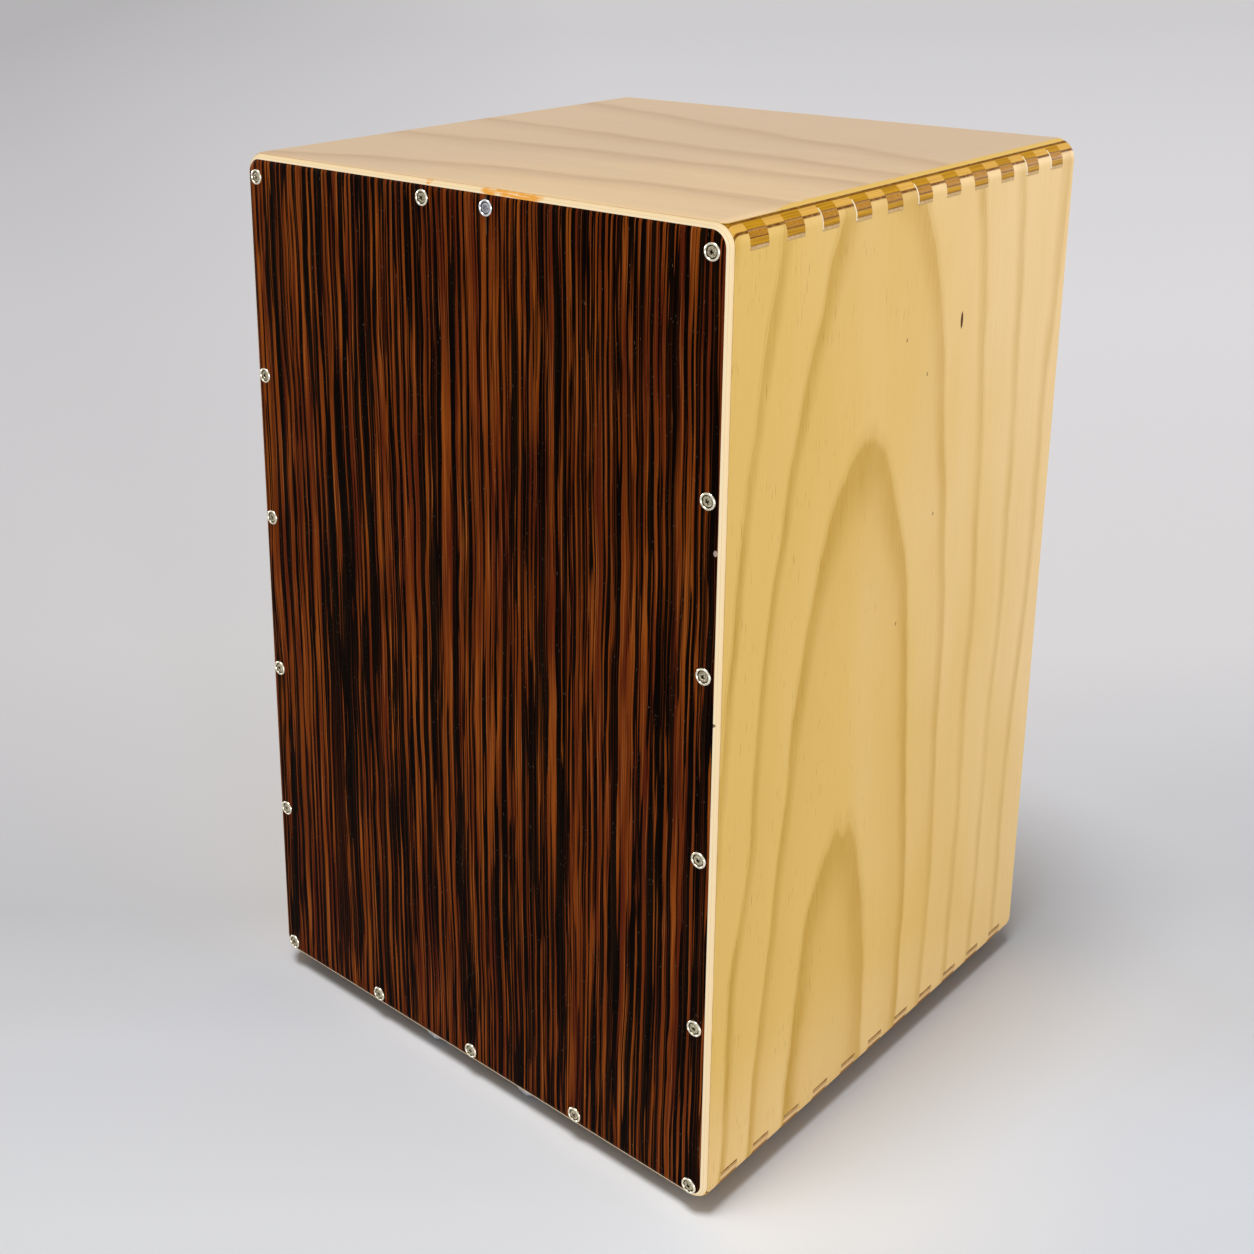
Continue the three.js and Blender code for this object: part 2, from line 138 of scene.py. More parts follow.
class Shade:
    """A socket of a material. Sums on it add Math nodes."""

    def __init__(self, tree, socket):
        self.tree = tree
        self.socket = socket

    def node(self, kind, settings=None, inputs=None, output=0):
        made = self.tree.nodes.new(kind)
        for name, value in (settings or {}).items():
            if name == "stops":
                ramp = made.color_ramp
                while len(ramp.elements) < len(value):
                    ramp.elements.new(0.5)
                for stop, (place, colour) in zip(ramp.elements, value):
                    stop.position = place
                    stop.color = (*colour, 1)
            else:
                setattr(made, name, value)
        for name, value in (inputs or {}).items():
            if isinstance(value, Shade):
                self.tree.links.new(value.socket, made.inputs[name])
            else:
                made.inputs[name].default_value = value
        return Shade(self.tree, made.outputs[output])

    def math(self, operation, *others):
        values = dict(enumerate((self, *others)))
        return self.node("ShaderNodeMath", {"operation": operation}, values)

    def flipped(self, operation, other):
        return self.node("ShaderNodeMath", {"operation": operation}, {0: other, 1: self})

    def __add__(self, other):
        return self.math("ADD", other)

    __radd__ = __add__

    def __sub__(self, other):
        return self.math("SUBTRACT", other)

    def __rsub__(self, other):
        return self.flipped("SUBTRACT", other)

    def __mul__(self, other):
        return self.math("MULTIPLY", other)

    __rmul__ = __mul__

    def __truediv__(self, other):
        return self.math("DIVIDE", other)

    def __pow__(self, other):
        return self.math("POWER", other)

    def __abs__(self):
        return self.math("ABSOLUTE")

    def smooth(self, low, high):
        """0 below low, 1 above high, or the other way round, with a soft step between."""
        start, end = (0.0, 1.0) if low < high else (1.0, 0.0)
        return self.node(
            "ShaderNodeMapRange",
            {"interpolation_type": "SMOOTHSTEP"},
            {0: self, 1: min(low, high), 2: max(low, high), 3: start, 4: end},
        )

    def after(self, place, border):
        """0 up to a place and 1 past it, with a border of this reach to each side."""
        return self.smooth(place - border, place + border)

    def before(self, place, border):
        """1 up to a place and 0 past it."""
        return self.smooth(place + border, place - border)

    def span(self, low, high, start, end):
        """Runs from start to end as this value goes from low to high, and stays there."""
        return self.node("ShaderNodeMapRange", {}, {0: self, 1: low, 2: high, 3: start, 4: end})

    def near(self, place, reach):
        """1 at a place, falling to 0 at a distance of reach."""
        return abs(self - place).smooth(reach, 0.0)

    def noise(self, u, v, w, detail=2.0, roughness=0.5, distortion=0.0):
        """Noise from 0 to 1 at a point whose coordinates are already in noise cells."""
        place = self.node("ShaderNodeCombineXYZ", {}, {0: u, 1: v, 2: w})
        return self.node(
            "ShaderNodeTexNoise",
            {"noise_dimensions": "3D"},
            {"Vector": place, "Scale": 1.0, "Detail": detail, "Roughness": roughness,
             "Distortion": distortion},
        )

    def blend(self, below, above):
        """The colour below where this value is 0, and above where it is 1."""
        return self.node(
            "ShaderNodeMix",
            {"data_type": "RGBA"},
            {0: self, 6: below, 7: above},
            output=2,
        )


def strongest(first, *others):
    """The highest of several masks, point by point."""
    for mask in others:
        first = first.math("MAXIMUM", mask)
    return first


def colour(red, green, blue):
    """A colour given as it looks on a screen, from 0 to 255."""
    def linear(value):
        share = value / 255
        return share / 12.92 if share <= 0.04045 else ((share + 0.055) / 1.055) ** 2.4
    return (linear(red), linear(green), linear(blue), 1.0)


class Finish:
    """A material under way: its coordinates in millimetres, and its one shader."""

    def __init__(self, name):
        self.material = bpy.data.materials.new(name)
        self.material.use_nodes = True
        tree = self.material.node_tree
        self.tree = tree
        self.shader = tree.nodes["Principled BSDF"]
        self.start = Shade(tree, None)
        self.noise = self.start.noise
        place = self.start.node("ShaderNodeTexCoord", output=3)
        scaled = self.start.node(
            "ShaderNodeVectorMath", {"operation": "SCALE"}, {0: place, 3: 1 / MM})
        self.x = self.start.node("ShaderNodeSeparateXYZ", {}, {0: scaled}, output=0)
        split = self.x.socket.node
        self.y = Shade(tree, split.outputs[1])
        self.z = Shade(tree, split.outputs[2])

    def set(self, **values):
        for name, value in values.items():
            socket = self.shader.inputs[name.replace("_", " ")]
            if isinstance(value, Shade):
                self.tree.links.new(value.socket, socket)
            else:
                socket.default_value = value

    def bump(self, height, depth):
        """Relief from a height of 0 to 1, depth millimetres deep."""
        normal = self.start.node(
            "ShaderNodeBump", {},
            {"Height": height, "Distance": depth * MM, "Strength": 1.0})
        self.set(Normal=normal)


# Plywood

FACE_GOLD = colour(226, 187, 106)
FACE_PALE = colour(238, 204, 148)
RING_LINE = colour(191, 148, 60)
RING_INSIDE = colour(206, 163, 80)
FLECK_BROWN = colour(156, 112, 50)
KNOT_BROWN = colour(84, 48, 18)
SEAT_PALE = colour(226, 196, 161)
SEAT_FRONT = colour(242, 209, 163)
SEAT_LINE = colour(192, 153, 114)
RIM_GOLD = colour(232, 190, 100)
SIDE_CROSS = colour(226, 176, 82)
SIDE_CROSS_DEEP = colour(208, 156, 70)
CROSS_GOLD = colour(204, 150, 26)
CROSS_DEEP = colour(162, 112, 12)
END_BROWN = colour(188, 130, 12)
END_DARK = colour(150, 96, 4)
GLUE_DARK = colour(108, 60, 2)
GLUE_WHITE = colour(252, 240, 208)
FLOOR_END = colour(230, 198, 148)
FLOOR_END_DEEP = colour(206, 164, 104)
UNDER_BROWN = colour(150, 122, 86)
UNDER_DARK = colour(122, 96, 64)
INNER_PALE = colour(208, 174, 124)
INNER_SHADE = colour(186, 150, 100)

# How much the lacquered wood mirrors, and how deep its grain lies, in millimetres
LACQUER_SHINE = 0.04
GRAIN_RELIEF = 0.03


def grain(finish, along, across, depth, cell=0.7, stretch=60.0, detail=4.0):
    """Fine lines that run along the grain."""
    return finish.noise(along / stretch, across / cell, depth / cell, detail, 0.6)


def layered(finish, depth, along, across, face, long_grain, end_grain, inside):
    """The plies of a panel, from its outer face inwards.

    Depth is in millimetres. The two crossing plies show long grain on the edge that is seen
    most, and the core ply shows its ends there.
    """
    threads = grain(finish, across, along, depth, 0.8, 50.0)
    crossing = threads.smooth(0.3, 0.72).blend(*long_grain)
    pores = finish.noise(along / 18.0, across / 0.9, depth / 0.45, 5.0, 0.7)
    core = pores.smooth(0.35, 0.68).blend(*end_grain)
    first, second, third, fourth = PLY_LINES
    is_core = depth.after(second, PLY_BORDER) * depth.before(third, PLY_BORDER)
    body = is_core.blend(crossing, core)
    body = depth.before(first, PLY_BORDER).blend(body, face)
    body = depth.after(fourth, PLY_BORDER).blend(body, inside)
    fainter = [
        abs(depth - place).smooth(0.45, 0.12) * strength
        for place, strength in ((second, 0.75), (third, 0.95), (fourth, 0.6))
    ]
    lines = strongest(abs(depth - first).smooth(0.5, 0.18), *fainter)
    ragged = finish.noise(along / 2.5, across / 2.5, depth, 2.0, 0.5).span(0.3, 0.55, 0.75, 1.0)
    return (lines * ragged).blend(body, GLUE_DARK)


def plain_inside(finish, along, across, depth):
    """The paler ply that faces the inside of the drum."""
    lines = grain(finish, along, across, depth, 1.4, 70.0)
    return lines.smooth(0.35, 0.7).blend(INNER_PALE, INNER_SHADE)


def lacquered(finish, body, roughness, along, across, through):
    """Ends a plywood finish: a thin satin coat over faint relief along the grain."""
    finish.set(Base_Color=body, Roughness=roughness, Specular_IOR_Level=LACQUER_SHINE)
    finish.bump(grain(finish, along, across, through, 0.4, 30.0), GRAIN_RELIEF)
    return finish.material


# The arched figure of the side panels comes from one field whose whole numbers are its ring lines.
# Millimetres: where the arches' middle lies, how far it leans over half the height, the height of
# the first arch's head, the step to the next, and the outermost line's reach in front and behind
ARCH_MIDDLE = -48.0
ARCH_LEAN = 9.6
FIGURE_MIDDLE = 240.0
ARCH_START = 260.0
ARCH_STEP = 133.2
ARCH_REACH_FRONT = 155.2
ARCH_REACH_BACK = 182.4
# How blunt the heads are, how fast the lines close up outwards, and the outermost line's number
ARCH_ROUND = 0.6
ARCH_POWER = 0.15
ARCH_OUTERMOST = 5.9
# The height under which the lines run straight down, and how gently they come to it
ARCH_FOOT = 163.3
ARCH_FOOT_BLEND = 169.4


def arch_field(finish):
    """How many ring lines lie inside a point, and how far it is from the arches' middle."""
    y = finish.y - 0.5
    z = finish.z - UNDER / MM
    drift = finish.noise(y / 70.0, z / 150.0, 2.0, 2.0, 0.5) - 0.5
    lift = z - ARCH_FOOT
    height = (lift + (lift * lift + ARCH_FOOT_BLEND ** 2) ** 0.5) * 0.5 + ARCH_FOOT
    first = (height - ARCH_START) / ARCH_STEP + 1
    side = y - (z - FIGURE_MIDDLE) * (ARCH_LEAN / FIGURE_MIDDLE) - ARCH_MIDDLE + drift * 16.0
    front = side.smooth(0.5, -0.5)
    share = abs(side) / (front * (ARCH_REACH_FRONT - ARCH_REACH_BACK) + ARCH_REACH_BACK)
    foot = (ARCH_ROUND ** 2) ** ARCH_POWER
    rise = ((share * share + ARCH_ROUND ** 2) ** ARCH_POWER - foot) * (
        1 / ((1 + ARCH_ROUND ** 2) ** ARCH_POWER - foot))
    ragged = finish.noise(y / 1.6, z / 16.0, 5.0, 3.0, 0.6) - 0.5
    wander = finish.noise(y / 14.0, z / 40.0, 7.0, 2.0, 0.5) - 0.5
    # The lower arch bulges to the front, with a notch in its line
    low_lobe = (y.near(-64.0, 28.0) * 0.08 + 0.06) * z.near(178.0, 70.0)
    notch = y.near(-47.0, 7.0) * z.near(162.0, 34.0) * 0.06
    field = first + (ARCH_OUTERMOST - first) * rise + ragged * 0.04 + wander * 0.09 + low_lobe + notch
    return field, side


# Marks on the right side: a knot, then pin knots, as places along and up the panel and their sizes
KNOT = (41.0, 411.0)
KNOT_SIZE = (1.35, 5.0)
PIN_KNOTS = ((10.0, 390.0), (24.5, 314.0), (-6.0, 264.0), (-11.0, 411.0))
PIN_SIZE = (0.7, 1.3)


def spot(sideways, upwards, place, size):
    """1 in the middle of an oval mark, 0 at its edge."""
    across = (sideways - place[0]) / size[0]
    up = (upwards - place[1]) / size[1]
    return (across * across + up * up).smooth(1.0, 0.45)


def side_face(finish):
    """The side's veneer: arches of ring lines on gold, flecks, and the knots on the right side."""
    field, side = arch_field(finish)
    y, z = finish.y, finish.z
    ring = field.math("FRACT")
    # What breaks the lines up, what fades them in places, and what varies the ground
    streaks = finish.noise(y / 1.1, z / 30.0, 5.0, 3.0, 0.65)
    patches = finish.noise(y / 30.0, z / 90.0, 9.0, 2.0, 0.5)
    broad = finish.noise(y / 45.0, z / 170.0, 4.0, 2.0, 0.5)
    # A ring darkens slowly up to its line and ends sharply
    line = ring.smooth(0.7, 0.93) * ring.smooth(1.0, 0.97) + ring.smooth(0.07, 0.0) * 0.45
    strength = patches.span(0.3, 0.7, 0.5, 1.0) * side.span(-40.0, 130.0, 1.0, 0.55)
    strength = strength * streaks.span(0.3, 0.62, 0.55, 1.0)
    # Paler towards the top and the back, and along the foot
    pale = (z / 900.0 + y / 230.0 + (broad - 0.5) * 1.1).smooth(-0.15, 1.15)
    pale = strongest(pale, z.smooth(95.0, 20.0) * 0.6)
    base = pale.blend(FACE_GOLD, FACE_PALE)
    glow = (ring ** 2.2) * field.smooth(4.2, 1.4)
    base = (glow * 0.58).blend(base, RING_INSIDE)
    base = (line * strength * 0.92).blend(base, RING_LINE)
    fine = grain(finish, z, y, finish.x, 0.5, 45.0)
    base = (fine.smooth(0.45, 0.75) * 0.14).blend(base, RING_LINE)
    # Short flecks, thickest in patches in front of the arches' middle
    flecks = finish.noise(y / 0.6, z / 12.0, 3.0, 1.0, 0.5).smooth(0.65, 0.74)
    where = finish.noise(y / 16.0, z / 30.0, 7.0).smooth(0.48, 0.6) * side.span(-30.0, 60.0, 1.0, 0.25)
    base = (flecks * where * 0.65).blend(base, FLECK_BROWN)
    pins = [spot(y, z, place, PIN_SIZE) * 0.6 for place in PIN_KNOTS]
    marks = strongest(spot(y, z, KNOT, KNOT_SIZE), *pins)
    return (marks * finish.x.smooth(0.0, 1.0)).blend(base, KNOT_BROWN)


def side_panel_finish():
    finish = Finish("side_plywood")
    depth = OUTER / MM - abs(finish.x)
    inside = plain_inside(finish, finish.z, finish.y, depth)
    body = layered(
        finish, depth, finish.z, finish.y, side_face(finish),
        (SIDE_CROSS, SIDE_CROSS_DEEP), (END_BROWN, CROSS_DEEP), inside)
    return lacquered(finish, body, 0.42, finish.z, finish.y, finish.x)


# The seat's broad darker lines, as their places from front to back at the seat's left edge, its
# middle and its right edge
SEAT_LINES = ((-150.0, -108.0, -103.0), (-53.0, -40.0, -41.0), (20.0, 6.0, -8.0), (118.0, 74.0, 31.0))

# From here to the back, the seat's veneer is sanded through along its edges
SANDED_FROM = -104.0


def seat_face(finish):
    """The seat's veneer: bowed lines from side to side, and a rim that is sanded through."""
    x, y, z = finish.x, finish.y, finish.z
    drift = finish.noise(x / 60.0, y / 40.0, 1.0, 2.0, 0.5) - 0.5
    share = x / (OUTER / MM)
    lines = []
    for left, middle, right in SEAT_LINES:
        place = share * share * ((left + right) / 2 - middle) + share * ((right - left) / 2) + middle
        distance = y - place + drift * 14.0
        lines.append(distance.span(-28.0, 0.0, 0.0, 1.0) ** 2.0 * distance.smooth(9.0, -2.0))
    broad = finish.noise(x / 120.0, y / 50.0, 3.0, 2.0, 0.5)
    front = (x / 400.0 - y / 300.0 + (broad - 0.5) * 0.6).smooth(-0.05, 0.75)
    base = front.blend(SEAT_PALE, SEAT_FRONT)
    streaks = finish.noise(x / 60.0, y / 2.2, 6.0, 3.0, 0.6).smooth(0.25, 0.7)
    base = (strongest(*lines) * streaks.span(0.0, 1.0, 0.3, 0.62)).blend(base, SEAT_LINE)
    fine = grain(finish, x, y, z, 0.6, 50.0)
    base = (fine.smooth(0.42, 0.75) * 0.2).blend(base, SEAT_LINE)
    ragged = finish.noise(x / 3.0, y / 9.0, 8.0, 3.0, 0.6) - 0.5
    start = (y + ragged * 5.0).span(SANDED_FROM - 14.0, SANDED_FROM + 2.0, 1.0, 0.08)
    rim = (TOP / MM - z + ragged * 0.3 - start).smooth(0.0, 0.22)
    return rim.blend(base, RIM_GOLD)


def glue_slivers(finish, depth):
    """Dried glue that shines in some of the gaps in front of the fingers, and over their ends."""
    pair = 2 * FINGER_WIDTH / MM
    order = (finish.y - (SHELL_FRONT + FIRST_FINGER) / MM) / pair
    # The gap lies where one pair of finger and slot passes into the next
    edge = abs(order.math("FRACT") - 0.5).smooth(0.5 - 0.042, 0.5 - 0.028)
    chosen = finish.noise(order.math("FLOOR") * 3.7, 0.4, 2.0, 0.0).smooth(0.5, 0.52)
    sunk = OUTER / MM - abs(finish.x)
    over = abs(sunk - 1.75).smooth(0.4, 0.15) * depth.smooth(2.0, 2.3) * 0.08
    return strongest(edge * chosen * depth.smooth(3.0, 3.4) * depth.smooth(12.6, 12.0), over)


def seat_finish():
    finish = Finish("seat_plywood")
    depth = TOP / MM - finish.z
    inside = plain_inside(finish, finish.x, finish.y, depth)
    body = layered(
        finish, depth, finish.x, finish.y, seat_face(finish),
        (CROSS_GOLD, CROSS_DEEP), (END_BROWN, END_DARK), inside)
    body = (glue_slivers(finish, depth) * 0.85).blend(body, GLUE_WHITE)
    return lacquered(finish, body, 0.4, finish.x, finish.y, finish.z)


def floor_board_finish():
    finish = Finish("floor_plywood")
    depth = finish.z - UNDER / MM
    face = grain(finish, finish.x, finish.y, finish.z, 1.2, 80.0).smooth(0.35, 0.75).blend(
        UNDER_BROWN, UNDER_DARK)
    inside = plain_inside(finish, finish.x, finish.y, depth)
    # Its fingers show paler ends, with a dark joint over them
    at_end = abs(finish.x).after(INNER / MM, 0.5)
    joint = depth.smooth(11.8, 12.6) * at_end
    inside = at_end.blend(inside, FLOOR_END_DEEP)
    body = layered(
        finish, depth, finish.x, finish.y, face,
        (FLOOR_END, FLOOR_END_DEEP), (END_BROWN, END_DARK), inside)
    patchy = finish.noise(finish.x / 3.0, finish.y / 5.0, depth / 3.0, 2.0, 0.5)
    body = (joint * patchy.span(0.35, 0.6, 0.5, 1.0)).blend(body, GLUE_DARK)
    return lacquered(finish, body, 0.45, finish.x, finish.y, finish.z)


# Playing board: a dark striped veneer on a pale core

STRIPE_BLACK = colour(7, 2, 0)
STRIPE_GREY = colour(20, 10, 3)
STRIPE_BROWN = colour(122, 55, 13)
STRIPE_RED = colour(90, 32, 10)
STRIPE_ORANGE = colour(156, 80, 22)
STRIPE_THREAD = colour(188, 110, 50)
STRIPE_FLECK = colour(150, 128, 104)
CHIP_PALE = colour(176, 156, 140)
CORE_CREAM_AND_HIGHLIGHT = colour(250, 228, 188)
CORE_DEEP = colour(248, 219, 170)
CORE_WORN = colour(240, 168, 72)
SEAM = colour(176, 122, 56)
CORE_LINE = colour(226, 186, 128)

# How much the dark board mirrors
BOARD_SHINE = 0.015

# Wear on the playing board, as places across and up it in millimetres: a scratch through screw 03,
# a chip in the veneer, and on the pale edge a notch and the spots where it is rubbed orange
SCRATCH = (middle_of("tapa_screw_03").x / MM, middle_of("tapa_screw_03").z / MM)
CHIP = (151.6, 344.7)
CHIP_SIZE = (1.1, 1.6)
NOTCH = (152.2, 263.7)
NOTCH_SIZE = (1.6, 1.1)
RUBBED = ((24.0, 486.2, 11.0), (41.0, 486.2, 13.0), (-19.6, 487.2, 2.2))
RUBBED_WIDTH = 2.6


def edge_wear(finish, core):
    """The pale edge of the playing board with its notch and rubbed spots."""
    rough = finish.noise(finish.x / 7.0, finish.y / 0.9, finish.z / 3.0, 2.0, 0.5)
    spots = [
        spot(finish.x, finish.z, (x, z), (length, RUBBED_WIDTH)) for x, z, length in RUBBED
    ]
    core = (strongest(*spots) * rough.smooth(0.32, 0.52)).blend(core, CORE_WORN)
    notch = spot(finish.x, finish.z, NOTCH, NOTCH_SIZE)
    return (notch * 0.85).blend(core, KNOT_BROWN)


def striped_veneer(finish):
    """Upright stripes, 1 to 8 mm wide, that taper out and in, with finer threads inside them."""
    x, z = finish.x, finish.z
    sway = finish.noise(x / 60.0, z / 150.0, 0.5, 2.0, 0.5) - 0.5
    shiver = finish.noise(x / 7.0, z / 60.0, 1.5, 2.0, 0.5) - 0.5
    u = x + sway * 7.0 + shiver * 1.5
    # Long bands, the tapering of their ends, and how they gather across the board
    bands = finish.noise(u / 2.5, z / 520.0, 3.0, 2.0, 0.6)
    taper = finish.noise(u / 2.1, z / 78.0, 6.0, 2.0, 0.5) - 0.5
    cluster = finish.noise(x / 13.0, z / 300.0, 8.0, 2.0, 0.5) - 0.5
    height = bands + taper * 0.42 + cluster * 0.2
    brown = height.smooth(0.498, 0.53)
    # Threads split the brown stripes and show faintly in the black ones
    threads = finish.noise(u / 0.75, z / 240.0, 12.0, 2.0, 0.6)
    split = threads.smooth(0.36, 0.45)
    shown = brown * split.span(0.0, 1.0, 0.22, 1.0)
    faint = (1 - brown) * threads.smooth(0.55, 0.68) * 0.5
    hue = finish.noise(u / 5.0, z / 130.0, 15.0, 3.0, 0.6)
    lit = hue.smooth(0.36, 0.56).blend(STRIPE_RED, STRIPE_BROWN)
    lit = (hue.smooth(0.52, 0.68) * 0.85).blend(lit, STRIPE_ORANGE)
    dark = finish.noise(u / 3.0, z / 110.0, 18.0, 2.0, 0.5).smooth(0.46, 0.66).blend(
        STRIPE_BLACK, STRIPE_GREY)
    face = strongest(shown, faint).blend(dark, lit)
    bright = finish.noise(u / 0.42, z / 90.0, 27.0, 1.0, 0.5).smooth(0.6, 0.72)
    face = (bright * brown * 0.75).blend(face, STRIPE_THREAD)
    flecks = finish.noise(x / 0.32, z / 2.6, 21.0, 1.0, 0.5).smooth(0.7, 0.78)
    worn = finish.noise(x / 9.0, z / 14.0, 24.0, 2.0, 0.6).smooth(0.44, 0.62)
    face = (flecks * worn * 0.7).blend(face, STRIPE_FLECK)
    drop = z - SCRATCH[1]
    scratch = (x + shiver * 0.6).near(SCRATCH[0], 0.3) * drop.smooth(-14.0, -11.0) * drop.smooth(8.0, 6.0)
    face = (scratch * 0.5).blend(face, STRIPE_FLECK)
    return spot(finish.x, finish.z, CHIP, CHIP_SIZE).blend(face, CHIP_PALE), threads


def board_finish():
    finish = Finish("dark_striped_veneer")
    depth = finish.y - BOARD_FRONT / MM
    face, threads = striped_veneer(finish)
    lines = strongest(depth.near(1.35, 0.18), depth.near(2.3, 0.14) * 0.6)
    # The core's cream is paler next to the veneer, a painted highlight on the rounded edge there
    core = depth.span(VENEER, 2.8, 0.0, 1.0).blend(CORE_CREAM_AND_HIGHLIGHT, CORE_DEEP)
    core = edge_wear(finish, (lines * 0.55).blend(core, CORE_LINE))
    seam = finish.noise(finish.x / 9.0, 1.0, finish.z / 9.0, 2.0, 0.5).smooth(0.3, 0.6)
    core = (depth.smooth(2.7, 2.9) * seam.span(0.0, 1.0, 0.15, 0.7)).blend(core, SEAM)
    inside = plain_inside(finish, finish.z, finish.x, depth)
    body = depth.after(VENEER, VENEER_BORDER).blend(face, core)
    body = depth.smooth(2.9, 2.95).blend(body, inside)
    skin = depth.before(VENEER, VENEER_BORDER)
    finish.set(
        Base_Color=body,
        Roughness=skin.span(0.0, 1.0, 0.5, 0.38),
        Specular_IOR_Level=BOARD_SHINE,
    )
    finish.bump(threads * skin, 0.05)
    return finish.material


# Back board, battens and the bars inside

# The depths of the back board's glue lines, in millimetres
BACK_LINES = (1.2, 2.8)


def back_board_finish():
    finish = Finish("back_plywood")
    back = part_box("back_panel")[1].y / MM
    depth = back - finish.y
    lines = grain(finish, finish.z, finish.x, finish.y, 1.6, 90.0)
    broad = finish.noise(finish.x / 26.0, finish.z / 260.0, 2.0, 3.0, 0.5, 0.4)
    face = broad.smooth(0.3, 0.7).blend(FACE_PALE, FACE_GOLD)
    face = (lines.smooth(0.45, 0.75) * 0.35).blend(face, RING_LINE)
    middle = grain(finish, finish.x, finish.z, finish.y, 0.8, 50.0).smooth(0.3, 0.7).blend(
        CROSS_GOLD, CROSS_DEEP)
    first, second = BACK_LINES
    is_middle = depth.after(first, PLY_BORDER) * depth.before(second, PLY_BORDER)
    body = is_middle.blend(face, middle)
    glue = strongest(*(depth.near(line, 0.16) for line in BACK_LINES))
    body = (glue * 0.8).blend(body, GLUE_DARK)
    finish.set(Base_Color=body, Roughness=0.45)
    finish.bump(lines, GRAIN_RELIEF)
    return finish.material


# Two woods for the bars, each as its early wood, its late wood and the width of a year in millimetres
PINE = (colour(222, 190, 142), colour(186, 142, 90), 2.8)
OAK = (colour(156, 108, 64), colour(104, 64, 34), 1.9)

# Where the heart of the tree lay beside the bars, in millimetres across them
HEART = (-47.0, -31.0)


def bar_finish(name, along, wood):
    """Solid wood whose grain runs along one axis, with year rings."""
    light, dark, ring = wood
    finish = Finish(name)
    axes = {"x": (finish.x, finish.y, finish.z), "z": (finish.z, finish.x, finish.y)}[along]
    across, rise = axes[1] - HEART[0], axes[2] - HEART[1]
    wander = finish.noise(axes[0] / 160.0, across / 12.0, rise / 12.0, 2.0, 0.5)
    radius = (across * across + rise * rise) ** 0.5
    year = (radius / ring + wander * 3.0).math("FRACT")
    fine = finish.noise(axes[0] / 40.0, across / 0.6, rise / 0.6, 4.0, 0.6)
    body = ((year ** 2.0) * year.smooth(1.0, 0.9) * 0.9).blend(light, dark)
    body = (fine.smooth(0.45, 0.75) * 0.4).blend(body, dark)
    finish.set(Base_Color=body, Roughness=fine.span(0.2, 0.8, 0.5, 0.68))
    finish.bump(fine, 0.05)
    return finish.material


# Metal and rubber

# Each metal as two tones that wander into each other, and for a rimmed screw a darker tone for its
# middle, which paints a dark reflection there
NICKEL = (colour(255, 250, 232), colour(228, 214, 178), colour(140, 126, 92))
BRIGHT_NICKEL = (colour(250, 250, 252), colour(222, 222, 226), colour(150, 150, 156))
ZINC = (colour(196, 198, 202), colour(160, 162, 168))
BRASS = (colour(214, 180, 108), colour(184, 146, 76))
PAINTED_GROOVE_SHADE = colour(58, 46, 30)

# Distances from the axis of a rimmed screw, and the depth its recess starts at, in millimetres
RIM_START = 3.1
GROOVE = 2.75
RECESS_REACH = 1.5
RECESS_RISE = 0.62

# From one turn of the winding on a wire to the next, in millimetres
WINDING = 0.5


def metal_finish(name, tones, gloss, scratches):
    """Plated or machined metal: tones that wander a little, and a scratched gloss.

    A rimmed screw has a darker tone painted in its middle as a dark reflection, broken by painted glints,
    and painted shade in the groove and the recess.
    """
    finish = Finish(name)
    tone, shade = tones[:2]
    middle = tones[2] if len(tones) > 2 else None
    # On a rimmed screw the tones wander in small patches, whose bright spots are painted glints
    patch = 0.7 if middle else 2.0
    cloud = finish.noise(finish.x / patch, finish.y / patch, finish.z / patch, 3.0, 0.6)
    scratch = finish.noise(
        finish.x / scratches, finish.y / scratches, finish.z / (scratches * 8), 4.0, 0.6)
    body = cloud.smooth(0.35, 0.7).blend(tone, shade)
    if middle:
        reach = finish.start.node("ShaderNodeAttribute", {"attribute_name": "reach"}, output=2)
        # A darker middle, a painted dark reflection, left bright in patches as painted glints
        painted_dark_middle = reach.smooth(RIM_START, RIM_START - 0.4)
        body = (painted_dark_middle * cloud.smooth(0.65, 0.4) * 0.9).blend(body, middle)
        # Painted shade in the groove between the rim and the dome, and in the cross recess
        body = (abs(reach - GROOVE).smooth(0.3, 0.12) * 0.9).blend(body, PAINTED_GROOVE_SHADE)
        sunk = reach.smooth(RECESS_REACH, RECESS_REACH - 0.6) * (
            finish.y - (BOARD_FRONT / MM - RECESS_RISE)).smooth(-0.05, 0.1)
        body = (sunk * 0.7).blend(body, PAINTED_GROOVE_SHADE)
    finish.set(
        Base_Color=body,
        Roughness=scratch.span(0.25, 0.75, *gloss),
        Metallic=1.0,
    )
    finish.bump(scratch, 0.015)
    return finish.material


def wire_finish():
    """Wound steel: its tone, gloss and relief all follow the winding."""
    finish = Finish("string_steel")
    turns = (finish.z * (2 * math.pi / WINDING)).math("SINE")
    # The darker tone between the turns is painted shade in the grooves of the winding
    tone = turns.smooth(-1.0, 0.4).blend(colour(104, 104, 106), colour(196, 196, 198))
    finish.set(Base_Color=tone, Metallic=1.0, Roughness=turns.span(-1.0, 1.0, 0.5, 0.28))
    finish.bump(turns.span(-1.0, 1.0, 0.0, 1.0), 0.06)
    return finish.material


